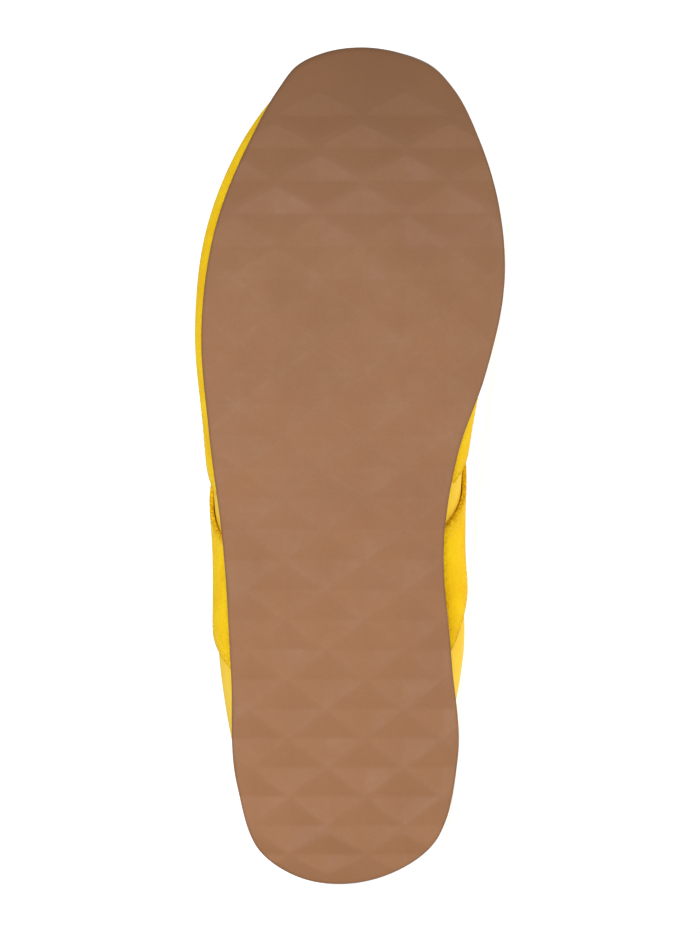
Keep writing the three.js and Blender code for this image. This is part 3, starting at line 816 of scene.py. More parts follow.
@dataclass(frozen=True)
class GumRubber:
    """Matte moulded gum rubber, with painted shade darkening it towards the toe."""

    pale: Colour = (0.252, 0.115, 0.049)
    deep: Colour = (0.228, 0.103, 0.043)
    roughness: float = 0.62
    soften_mm: float = 1.6
    ridge_level: float = 0.97
    # Painted shadow: brightness of the dark copy of the rubber inside the eyelet holes.
    hole_shadow_level: float = 0.18
    # Painted shade: colour brightness by distance along the sole in metres, falling to 68% at the toe.
    painted_toe_shade: tuple[tuple[float, float], ...] = (
        (-0.1, 1.0), (-0.05, 0.94), (0.04, 0.87), (0.08, 0.77), (0.115, 0.68))

    def material(self, name: str, level: float) -> bpy.types.Material:
        """Soft mottling, painted shade towards the toe, a fine moulded skin and a few faint rubs.

        Args:
            name: the material's name.
            level: brightness of its colour, low for the painted shadow in the eyelet holes.

        Returns:
            The material.
        """
        shade = Shade(name)
        colour = shade.ramp(shade.noise(28, 4, 0.6), [(0.3, self.deep), (0.7, self.pale)])
        # Painted shade: the colour is multiplied darker towards the toe by the ramp below.
        along = shade.node("ShaderNodeSeparateXYZ", {0: shade.object_space}).outputs[0]
        start, end = self.painted_toe_shade[0][0], self.painted_toe_shade[-1][0]
        stops = [((x - start) / (end - start), (level * k,) * 3) for x, k in self.painted_toe_shade]
        fade = shade.ramp(shade.span(along, 0, 1, start, end), stops)
        speck = shade.ramp(shade.noise(1500, 2, 0.6), [(0.35, (0.97,) * 3), (0.65, (1.02,) * 3)])
        shade.set(Base_Color=shade.tint(shade.tint(colour, fade, 1.0, "MULTIPLY"), speck, 1.0, "MULTIPLY"))
        rub = shade.noise(90, 5, 0.7)
        shade.set(Roughness=shade.span(rub, self.roughness - 0.08, self.roughness + 0.1, 0.3, 0.7))
        worn = shade.node("ShaderNodeBevel", {"Radius": self.soften_mm * MM}, samples=6).outputs["Normal"]
        skin = shade.bump(shade.noise(2600, 2, 0.5), 0.05, 0.35, worn)
        shade.set(Normal=shade.bump(shade.noise(240, 3, 0.5), 0.12, 0.3, skin), Specular_IOR_Level=0.3)
        return shade.material


@dataclass(frozen=True)
class Suede:
    """Napped suede."""

    light: Colour = (0.95, 0.66, 0.009)
    deep: Colour = (0.84, 0.5, 0.002)
    hollow: Colour = (0.6, 0.3, 0.0)
    # Colour of the darker edge band: partly worn suede, partly painted shade along the edges.
    worn: Colour = (0.42, 0.2, 0.004)
    sheen: Colour = (1.0, 0.78, 0.12)
    wear_and_shade_edge_mm: float = 3.4

    def material(self) -> bpy.types.Material:
        """Brushed patches, a speckled nap, a darker edge that is partly worn suede and partly painted shade,
        and a soft sheen.
        """
        shade = Shade("yellow_suede")
        brushed = shade.noise(70, 4, 0.6, distortion=0.6)
        nap = shade.noise(3400, 3, 0.65)
        colour = shade.ramp(brushed, [(0.32, self.deep), (0.68, self.light)])
        rubbed = shade.tint(colour, self.hollow, shade.span(nap, 0.45, 0.0, 0.36, 0.52))
        # Darker band within a few millimetres of every edge, in patches: partly wear, partly painted shade
        # along the edges.
        border = shade.node("ShaderNodeAttribute", attribute_name="border").outputs["Fac"]
        near = shade.span(border, 1.0, 0.0, 0.0, self.wear_and_shade_edge_mm * MM)
        patches = shade.span(shade.noise(900, 3, 0.7), 0.0, 0.75, 0.38, 0.62)
        dark = shade.tint(rubbed, self.worn, shade.product(near, patches))
        shade.set(Base_Color=dark, Roughness=0.95, Specular_IOR_Level=0.1)
        shade.set(Sheen_Weight=0.15, Sheen_Roughness=0.45, Sheen_Tint=(*self.sheen, 1))
        soft = shade.bump(shade.noise(380, 3, 0.6), 0.25, 0.35)
        shade.set(Normal=shade.bump(nap, 0.16, 0.6, soft))
        return shade.material


@dataclass(frozen=True)
class Shell:
    """Smooth pale yellow leather of the upper."""

    light: Colour = (0.94, 0.65, 0.042)
    deep: Colour = (0.88, 0.57, 0.028)
    pore: Colour = (0.7, 0.42, 0.02)

    def material(self) -> bpy.types.Material:
        """Fine pebbled grain with gentle unevenness."""
        shade = Shade("yellow_shell")
        colour = shade.ramp(shade.noise(55, 4, 0.6), [(0.3, self.deep), (0.7, self.light)])
        grain = shade.cells(1300)
        shade.set(Base_Color=shade.tint(colour, self.pore, shade.span(grain, 0.22, 0.0, 0.0, 0.35)))
        shade.set(Roughness=shade.span(grain, 0.74, 0.62), Specular_IOR_Level=0.18)
        shade.set(Normal=shade.bump(grain, 0.14, 0.35, shade.bump(shade.noise(160, 3, 0.5), 0.3, 0.25)))
        return shade.material


@dataclass(frozen=True)
class LiningCloth:
    """Woven lining."""

    thread: Colour = (0.92, 0.66, 0.1)
    hollow: Colour = (0.72, 0.47, 0.05)
    faded: Colour = (0.95, 0.75, 0.25)
    per_metre: float = 260.0

    def material(self) -> bpy.types.Material:
        """A plain weave on the piece's own surface coordinates."""
        shade = Shade("woven_lining")
        weave = shade.product(shade.bands(self.per_metre, "X"), shade.bands(self.per_metre, "Y"))
        colour = shade.ramp(weave, [(0.02, self.hollow), (0.45, self.thread)])
        patches = shade.span(shade.noise(120), 0.0, 0.35, 0.35, 0.7)
        shade.set(Base_Color=shade.tint(colour, self.faded, patches))
        shade.set(Roughness=0.9, Sheen_Weight=0.2, Specular_IOR_Level=0.2)
        shade.set(Normal=shade.bump(weave, 0.25, 0.6))
        return shade.material


@dataclass(frozen=True)
class LaceWeave:
    """Flat woven cotton lace."""

    thread: Colour = (0.96, 0.68, 0.045)
    hollow: Colour = (0.83, 0.52, 0.015)

    def material(self) -> bpy.types.Material:
        """A slanted weave along the lace."""
        shade = Shade("lace_weave")
        slant = shade.bands(330, "DIAGONAL")
        ribs = shade.bands(420, "X")
        weave = shade.product(slant, ribs)
        shade.set(Base_Color=shade.ramp(weave, [(0.03, self.hollow), (0.5, self.thread)]))
        shade.set(Roughness=0.88, Sheen_Weight=0.25, Specular_IOR_Level=0.2)
        shade.set(Normal=shade.bump(weave, 0.22, 0.6))
        return shade.material


@dataclass(frozen=True)
class Thread:
    """Sewing thread."""

    colour: Colour = (0.88, 0.6, 0.05)
    deep: Colour = (0.64, 0.4, 0.015)

    def material(self) -> bpy.types.Material:
        """Twisted thread with a slight sheen."""
        shade = Shade("sewing_thread")
        twist = shade.noise(2400, 2, 0.5)
        twisted = shade.ramp(twist, [(0.3, self.deep), (0.7, self.colour)])
        shade.set(Base_Color=shade.tint(twisted, self.colour, 0.4))
        shade.set(Roughness=0.7, Sheen_Weight=0.2)
        return shade.material


# Geometry nodes


class Tree:
    """A Geometry Nodes tree with short calls to add sockets and nodes."""

    def __init__(self, name: str) -> None:
        """Starts a tree with a geometry input and output.

        Args:
            name: the tree's name.
        """
        self.group = bpy.data.node_groups.new(name, "GeometryNodeTree")
        self.face = self.group.interface
        self.face.new_socket("Geometry", in_out="INPUT", socket_type="NodeSocketGeometry")
        self.face.new_socket("Geometry", in_out="OUTPUT", socket_type="NodeSocketGeometry")
        self.source = self.group.nodes.new("NodeGroupInput")
        self.result = self.group.nodes.new("NodeGroupOutput")
        self.names: dict[str, str] = {}

    def size(self, name: str, kind: str = "NodeSocketFloat") -> Socket:
        """Adds a named input and returns its socket inside the tree."""
        self.names[name] = self.face.new_socket(name, in_out="INPUT", socket_type=kind).identifier
        return self.source.outputs[name]

    def node(self, kind: str, inputs: dict | None = None, **settings: object) -> bpy.types.Node:
        """Adds a node, sets its properties and joins or sets its inputs.

        Args:
            kind: Blender's node type.
            inputs: by input name or number, a socket to join or a value to set.
            settings: properties of the node.

        Returns:
            The node.
        """
        made = self.group.nodes.new(kind)
        for key, value in settings.items():
            setattr(made, key, value)
        for key, value in (inputs or {}).items():
            if isinstance(value, bpy.types.NodeSocket):
                self.group.links.new(value, made.inputs[key])
            else:
                made.inputs[key].default_value = value
        return made

    def attribute(self, name: str) -> Socket:
        """A named vector of the points."""
        kind = "GeometryNodeInputNamedAttribute"
        return self.node(kind, {"Name": name}, data_type="FLOAT_VECTOR").outputs[0]

    def facing(self) -> Socket:
        """The turn that points an instance's Z along the marked direction."""
        kind = "FunctionNodeAlignRotationToVector"
        return self.node(kind, {"Vector": self.attribute("facing")}, axis="Z").outputs[0]

    def on_points(self, **inputs: object) -> Socket:
        """Copies of an instance on points, made real."""
        copies = self.node("GeometryNodeInstanceOnPoints", inputs)
        return self.node("GeometryNodeRealizeInstances", {0: copies.outputs[0]}).outputs[0]

    def dress(self, geometry: Socket, finish: Socket) -> Socket:
        """Geometry with smooth shading and a material."""
        smooth = self.node("GeometryNodeSetShadeSmooth", {0: geometry})
        return self.node("GeometryNodeSetMaterial", {0: smooth.outputs[0], "Material": finish}).outputs[0]

    def cut(self, tools: Socket, finish: Socket) -> None:
        """Cuts tools out of the piece, gives it a material and ends the tree."""
        cut = self.node("GeometryNodeMeshBoolean", {0: self.source.outputs[0], 1: tools},
                        operation="DIFFERENCE", solver="EXACT")
        self.end(self.node("GeometryNodeSetMaterial", {0: cut.outputs[0], "Material": finish}).outputs[0])

    def end(self, geometry: Socket) -> None:
        """Joins the finished geometry to the tree's output."""
        self.group.links.new(geometry, self.result.inputs[0])

    def apply(self, piece: bpy.types.Object, **values: object) -> None:
        """Runs the tree on a piece and keeps the result as a plain mesh.

        Args:
            piece: the object that carries the tree's geometry input.
            values: the tree's named inputs, with underscores for spaces.
        """
        modifier = piece.modifiers.new(self.group.name, "NODES")
        modifier.node_group = self.group
        for key, value in values.items():
            modifier[self.names[key.replace("_", " ")]] = value
        settle(piece)


def line_piece(name: str, lines: Sequence[Array]) -> bpy.types.Object:
    """A piece made of open lines only, for a tree to follow.

    Args:
        name: name of the piece.
        lines: rows of upright points, in millimetres.

    Returns:
        The new object, lying on the table.
    """
    mesh = bpy.data.meshes.new(name)
    points = LYING.to_row(np.concatenate(lines))
    edges, start = [], 0
    for line in lines:
        edges += [(start + i, start + i + 1) for i in range(len(line) - 1)]
        start += len(line)
    mesh.from_pydata(points.tolist(), edges, [])
    return add_object(name, mesh)


def stitch_tree() -> Tree:
    """A tree that sews stitches along lines."""
    tree = Tree("stitch_row")
    spacing, length = tree.size("Spacing"), tree.size("Length")
    width, thread = tree.size("Width"), tree.size("Thread", "NodeSocketMaterial")
    curve = tree.node("GeometryNodeMeshToCurve", {0: tree.source.outputs[0]})
    steps = {"Curve": curve.outputs[0], "Length": spacing}
    row = tree.node("GeometryNodeResampleCurve", steps, mode="LENGTH")
    bead = tree.node("GeometryNodeMeshIcoSphere", {"Radius": 0.5, "Subdivisions": 1})
    scale = tree.node("ShaderNodeCombineXYZ", {0: length, 1: width, 2: width})
    tangent = tree.node("GeometryNodeInputTangent")
    turn = tree.node("FunctionNodeAlignRotationToVector", {"Vector": tangent.outputs[0]}, axis="X")
    sewn = tree.on_points(Points=row.outputs[0], Instance=bead.outputs[0], Rotation=turn.outputs[0],
                          Scale=scale.outputs[0])
    tree.end(tree.dress(sewn, thread))
    return tree


def pit_tree() -> Tree:
    """A tree that sinks pyramids into the tread at marked points."""
    tree = Tree("tread_pits")
    marks, gum = tree.size("Marks", "NodeSocketObject"), tree.size("Gum", "NodeSocketMaterial")
    points = tree.node("GeometryNodeObjectInfo", {"Object": marks})
    pyramid = {"Vertices": 4, "Radius Top": 0.0, "Radius Bottom": 1.0, "Depth": 1.0}
    cone = tree.node("GeometryNodeMeshCone", pyramid)
    angle = tree.node("FunctionNodeEulerToRotation", {0: tree.attribute("turn")})
    pits = tree.on_points(Points=points.outputs["Geometry"], Instance=cone.outputs[0],
                          Rotation=angle.outputs[0], Scale=tree.attribute("size"))
    tree.cut(pits, gum)
    return tree


def hole_tree() -> Tree:
    """A tree that cuts round holes at marked points."""
    tree = Tree("punched_holes")
    marks, finish = tree.size("Marks", "NodeSocketObject"), tree.size("Finish", "NodeSocketMaterial")
    radius, depth = tree.size("Radius"), tree.size("Depth")
    points = tree.node("GeometryNodeObjectInfo", {"Object": marks})
    plug = tree.node("GeometryNodeMeshCylinder", {"Vertices": 20, "Radius": radius, "Depth": depth})
    plugs = tree.on_points(Points=points.outputs["Geometry"], Instance=plug.outputs[0],
                           Rotation=tree.facing())
    tree.cut(plugs, finish)
    return tree


def eyelet_tree() -> Tree:
    """A tree that sets rolled rings on marked points, and in their holes dark discs of painted shadow."""
    tree = Tree("eyelet_rings")
    radius, roll = tree.size("Radius"), tree.size("Roll")
    sink, floor = tree.size("Sink"), tree.size("Floor")
    finish, shadow = tree.size("Finish", "NodeSocketMaterial"), tree.size("Shadow", "NodeSocketMaterial")
    path, section = (
        tree.node("GeometryNodeCurvePrimitiveCircle", {"Resolution": sides, "Radius": size}, mode="RADIUS")
        for sides, size in ((16, radius), (5, roll)))
    tube = tree.node("GeometryNodeCurveToMesh",
                     {"Curve": path.outputs[0], "Profile Curve": section.outputs[0]})
    # Painted shadow: a dark disc sunk in each hole, where the hole's shade falls.
    disc = tree.node("GeometryNodeMeshCylinder", {"Vertices": 16, "Radius": radius, "Depth": floor})
    deep = tree.node("ShaderNodeCombineXYZ", {2: sink})
    low = tree.node("GeometryNodeTransform", {0: disc.outputs[0], "Translation": deep.outputs[0]})
    turn = tree.facing()
    both = tree.node("GeometryNodeJoinGeometry")
    for part, material in ((tube, finish), (low, shadow)):
        real = tree.on_points(Points=tree.source.outputs[0], Instance=part.outputs[0], Rotation=turn)
        tree.group.links.new(tree.dress(real, material), both.inputs[0])
    tree.end(both.outputs[0])
    return tree


# Pieces


@dataclass
class Outsole:
    """One-piece gum rubber sole with sunk diamonds in its tread."""

    columns: int = 300
    edge_round: float = 0.8
    toe_round: float = 0.8
    toe_round_from: float = 0.95
    toe_round_to: float = 0.99
    side_rows: tuple[float, float] = (0.3, 0.65)
    taper: float = 1.0
    pit_depth: float = 1.5
    toe_fade: float = 0.4
    toe_fade_from: float = 0.68
    toe_fade_to: float = 0.9
    land: float = 0.8
    pitch_heel: float = 18.0
    pitch_ball: float = 20.8
    width_share: float = 1.32
    reach: int = 5
    first_row: float = 9.3
    last_row: float = 0.925
    axis_heel: float = 5.0
    axis_toe: float = 3.5
    below: float = 0.1
    level: float = 0.03

    def ring(self, places: Array, inset: Array | float, height: Callable[[Array], Array]) -> Array:
        """One ring of the plan, moved in from its edge.

        Args:
            places: places round the outline.
            inset: how far in.
            height: height from the distance along.

        Returns:
            The ring's points.
        """
        plan = FORM.outline(places) - np.reshape(inset, (-1, 1)) * FORM.outline_normal(places)
        return np.concatenate([plan, height(plan[:, 0])[:, None]], axis=1)

    def body(self) -> Patch:
        """The sole before its pits are sunk."""
        places = FORM.columns(self.columns)
        rings = []
        share = FORM.outline(places)[:, 0] / FORM.length
        at_toe = smoothstep(share, self.toe_round_from, self.toe_round_to)
        low_round = self.edge_round + self.toe_round * at_toe
        for angle in np.linspace(0, math.pi / 2, 5):
            inset = low_round * (1 - math.sin(angle))
            lift = low_round * (1 - math.cos(angle))
            rings.append(self.ring(places, inset, lambda x, lift=lift: FORM.tread(x) + lift))
        for up in self.side_rows:
            rings.append(self.ring(places, self.taper * up,
                                   lambda x, up=up: blend(FORM.tread(x), FORM.seat(x), up)))
        for angle in np.linspace(0, math.pi / 2, 4):
            inset = self.taper + self.edge_round * (1 - math.cos(angle))
            drop = self.edge_round * (1 - math.sin(angle))
            rings.append(self.ring(places, inset, lambda x, drop=drop: FORM.seat(x) - drop))
        patch = Patch()
        index = patch.add_grid(np.stack(rings, axis=1), ring=True)
        for row, faces_up in ((0, False), (len(rings) - 1, True)):
            patch.add_faces(self.closing(rings[row][:, 0], lambda c, row=row: index(c, row), faces_up))
        return patch

    def closing(self, along: Array, index: Callable[[int], int], faces_up: bool) -> Quads:
        """Triangles that close a ring with strips from side to side.

        Args:
            along: distance along the sole of each point of the ring.
            index: index of each point.
            faces_up: which way they face.

        Returns:
            The triangles.
        """
        outer, inner = 0, len(along)
        faces = []
        while inner - outer > 1:
            step_outer = along[outer + 1] <= along[inner - 1]
            third = outer + 1 if step_outer else inner - 1
            corners = tuple(index(c) for c in (outer, third, inner))
            faces.append(corners if faces_up else corners[::-1])
            outer, inner = (outer + 1, inner) if step_outer else (outer, inner - 1)
        return faces

    def pit_marks(self) -> bpy.types.Object:
        """Points for the pits, each with its size and turn."""
        points, sizes, turns = [], [], []
        x, row = self.first_row, 0
        while x < self.last_row * FORM.length:
            share = x / FORM.length
            pitch = float(blend(self.pitch_heel, self.pitch_ball, smoothstep(share, 0, 1)))
            column = pitch / 2 * self.width_share
            middle = float(blend(self.axis_heel, self.axis_toe, share))
            edges = [FORM.outline(FORM.side_place(side, share))[1] for side in Side]
            slope = math.atan2(float(FORM.tread(x + 1) - FORM.tread(x - 1)), 2)
            turn = LYING.turn() @ Matrix.Rotation(-slope, 3, "Y")
            fade = self.toe_fade * smoothstep(share, self.toe_fade_from, self.toe_fade_to)
            depth = self.pit_depth * float(1 - fade)
            half = pitch / 2 * (1 - self.land / pitch) * (1 + self.below / depth)
            start = x + math.sin(slope) * self.below
            low = float(FORM.tread(x)) - math.cos(slope) * self.below
            for k in range(row % 2 - self.reach, self.reach + 1, 2):
                y = middle + k * column
                if edges[0] - column / 2 < y < edges[1] + column / 2:
                    points.append((start, y, low))
                    sizes.append((half * MM, half * self.width_share * MM, (depth + self.below) * MM))
                    turns.append(tuple(turn.to_euler()))
            x, row = x + pitch / 2, row + 1
        return add_marks("pit_marks", points, size=sizes, turn=turns)

    def mark_ridges(self, sole: bpy.types.Object) -> None:
        """Gives the narrow lands between the pits their own material number."""
        count = len(sole.data.polygons)
        centres, numbers = np.empty(count * 3, np.float32), np.zeros(count, np.int32)
        sole.data.polygons.foreach_get("center", centres)
        upright = LYING.to_form(centres.reshape(-1, 3))
        level = np.abs(upright[:, 2] - FORM.tread(upright[:, 0])) < self.level
        numbers[level & (upright[:, 0] < self.last_row * FORM.length)] = 1
        sole.data.polygons.foreach_set("material_index", numbers)

    def build(self, gum: bpy.types.Material, ridge: bpy.types.Material) -> bpy.types.Object:
        """Makes the finished sole.

        Args:
            gum: its rubber.
            ridge: the rubber of the narrow lands between the pits.

        Returns:
            The piece.
        """
        sole = self.body().make("gum_sole", [gum])
        marks = self.pit_marks()
        pit_tree().apply(sole, Marks=marks, Gum=gum)
        bpy.data.objects.remove(marks)
        sole.data.materials.append(ridge)
        self.mark_ridges(sole)
        shade_smooth(sole, 6)
        return place_piece(sole, Slot.GUM, "outsole")


@dataclass(frozen=True)
class Crease:
    """A soft trough pressed into the upper, with a low ridge beside it, from one point in plan to another."""

    start: tuple[float, float]
    end: tuple[float, float]
    low: float
    depth: float
    width: float
    ridge: float = 0.35
    ridge_off: float = 2.1
    bow: float = 3.0
    rise: float = 10.0
    fade_past: float = 0.05
    fade_within: float = 0.25

    def press(self, points: Array) -> Array:
        """How far it presses each point inwards.

        Args:
            points: points of the wall, upright, in millimetres.

        Returns:
            Depths in millimetres.
        """
        a, b = np.array(self.start), np.array(self.end)
        along = (b - a) / np.linalg.norm(b - a)
        plan = points[..., :2] - a
        share = (plan @ along) / np.linalg.norm(b - a)
        bow = self.bow * (1 - (2 * share - 1) ** 2)
        off = plan @ np.array([-along[1], along[0]]) - bow
        fade = smoothstep(share, -self.fade_past, self.fade_within)
        fade = fade * (1 - smoothstep(share, 1 - self.fade_within, 1 + self.fade_past))
        lift = smoothstep(points[..., 2], self.low, self.low + self.rise)
        trough = np.exp(-((off / self.width) ** 2))
        beside = (np.abs(off) - self.ridge_off * self.width) / self.width
        raised = self.ridge * np.exp(-(beside ** 2))
        return self.depth * (trough - raised) * fade * lift


CREASES = (
    Crease((183, -36), (190, -6), 30, 1.8, 2.6),
    Crease((192, 30), (187, 2), 30, 1.9, 2.8),
    Crease((197, -27), (201, 12), 30, 1.5, 2.4),
    Crease((206, 27), (209, -14), 28, 1.2, 2.2),
    Crease((52, -42), (72, -26), 52, 0.9, 5.0),
    Crease((34, 27), (58, 38), 50, 0.8, 5.0),
    Crease((40, -36), (60, -38), 42, 0.6, 4.5),
)


@dataclass
class Upper:
    """The hollow upper, with its padded collar and lining."""

    columns: int = 300
    rows_low: int = 12
    rows_high: int = 46
    rim_rows: int = 8
    collar_line: float = 0.69
    groove_depth: float = 0.7
    groove_reach: float = 0.035
    full_pad: float = 3.0
    seam_depth: float = 0.35
    seam_width: float = 1.1
    seam_end: float = 0.93
    inner_follow: float = 0.5
    rim_height: float = 0.8
    rim_sample: float = 0.015

    def collar_groove(self, t: Array, v: Array) -> Array:
        """Depth of the sewn groove below the padded collar."""
        pad = np.clip(FORM.section(t)[..., 6] / self.full_pad, 0, 1)
        return self.groove_depth * pad * np.exp(-(((v - self.collar_line) / self.groove_reach) ** 2))

    def back_groove(self, t: Array) -> Array:
        """Depth of the seam down the heel's back."""
        near = np.minimum(np.abs(t), np.abs(1 - t)) * FORM.perimeter
        return self.seam_depth * np.exp(-((near / self.seam_width) ** 2))

    def shares(self) -> Array:
        """Shares of the wall at each row, closer together near its widest line."""
        low = np.linspace(0, FORM.belly_share, self.rows_low, endpoint=False)
        high = FORM.belly_share + (1 - FORM.belly_share) * np.linspace(0, 1, self.rows_high) ** 1.2
        return np.concatenate([low, high])

    def build(self, shell: bpy.types.Material, lining: bpy.types.Material) -> bpy.types.Object:
        """Makes the upper as one closed wall.

        Args:
            shell: outside.
            lining: inside.

        Returns:
            The piece.
        """
        t = FORM.columns(self.columns)[:, None]
        v = self.shares()[None, :]
        places, shares = t + 0 * v, v + 0 * t
        thick = FORM.thickness(places, shares)
        seam = self.back_groove(places) * (1 - smoothstep(v, self.seam_end, 1.0))
        pressed = self.collar_groove(places, shares) + seam
        flat = FORM.wall_at(t, v)
        folded = sum(crease.press(flat) for crease in CREASES)
        outer = FORM.off_wall(t, v, -pressed - folded)
        inner = FORM.off_wall(t, v, -thick - self.inner_follow * folded)
        normal = FORM.wall_normal(t[:, 0], 1.0)
        half = thick[:, -1:] / 2
        rise = unit(FORM.wall_at(t[:, 0], 1.0) - FORM.wall_at(t[:, 0], 1.0 - self.rim_sample))
        middle = outer[:, -1] - normal * half
        angles = np.linspace(0, math.pi, self.rim_rows + 2)[1:-1]
        rim = [middle + half * (normal * math.cos(a) + self.rim_height * rise * math.sin(a)) for a in angles]
        outside = np.concatenate([outer, np.stack(rim, axis=1)], axis=1)
        patch = Patch()
        front = patch.add_grid(outside, ring=True, number=0)
        back = patch.add_grid(inner, ring=True, flip=True, number=1)
        top, last = outside.shape[1] - 1, inner.shape[1] - 1
        seams = []
        for c in range(self.columns):
            seams.append((front(c + 1, 0), front(c, 0), back(c, 0), back(c + 1, 0)))
            seams.append((front(c, top), front(c + 1, top), back(c + 1, last), back(c, last)))
        patch.add_faces(seams, 1)
        piece = patch.make("lasted_upper", [shell, lining], 60)
        return place_piece(piece, Slot.SHELL, "upper")


@dataclass
class Insole:
    """Plain footbed, slightly dished."""

    columns: int = 220
    thick: float = 4.0
    inset: float = 5.6
    edge_steps: tuple[tuple[float, float], ...] = ((0.0, 0.8), (0.25, 0.3), (0.8, 0.0))

    def build(self, cloth: bpy.types.Material) -> bpy.types.Object:
        """Makes the footbed.

        Args:
            cloth: its cover.

        Returns:
            The piece.
        """
        places = FORM.columns(self.columns)
        sole = Outsole()
        levels = [(0.0, 0.0)] + [(inset, self.thick - drop) for inset, drop in self.edge_steps]
        rings = [sole.ring(places, self.inset + inset, lambda x, lift=lift: FORM.seat(x) + FORM.gap + lift)
                 for inset, lift in levels]
        patch = Patch()
        index = patch.add_grid(np.stack(rings, axis=1), ring=True)
        for row, faces_up in ((0, False), (len(rings) - 1, True)):
            patch.add_faces(sole.closing(rings[row][:, 0], lambda c, row=row: index(c, row), faces_up))
        patch.marks[0] = np.concatenate(patch.points)[:, :2]
        return place_piece(patch.make("footbed", [cloth], 50), Slot.LINING, "insole")


@dataclass(frozen=True)
class RandRow:
    """How far up the wall the toe rand reaches at one place."""

    along: float
    side: Side
    up: float


@dataclass(frozen=True)
class SaddleRow:
    """Rear and front edge of a saddle piece at one share of the wall."""

    up: float
    rear: float
    front: float


RAND = (
    RandRow(0.462, Side.OUTER, 0.05),
    RandRow(0.5, Side.OUTER, 0.2),
    RandRow(0.6, Side.OUTER, 0.33),
    RandRow(0.75, Side.OUTER, 0.42),
    RandRow(0.9, Side.OUTER, 0.47),
    RandRow(1.0, Side.OUTER, 0.5),
    RandRow(0.9, Side.INNER, 0.47),
    RandRow(0.75, Side.INNER, 0.42),
    RandRow(0.62, Side.INNER, 0.33),
    RandRow(0.52, Side.INNER, 0.2),
    RandRow(0.478, Side.INNER, 0.05),
)

SADDLES = {
    Side.OUTER: (
        SaddleRow(0.03, 0.25, 0.405),
        SaddleRow(0.24, 0.298, 0.452),
        SaddleRow(0.55, 0.335, 0.54),
        SaddleRow(0.8, 0.385, 0.65),
        SaddleRow(1.0, 0.4, 0.79),
    ),
    Side.INNER: (
        SaddleRow(0.03, 0.273, 0.424),
        SaddleRow(0.24, 0.352, 0.478),
        SaddleRow(0.55, 0.38, 0.555),
        SaddleRow(0.8, 0.395, 0.66),
        SaddleRow(1.0, 0.402, 0.81),
    ),
}


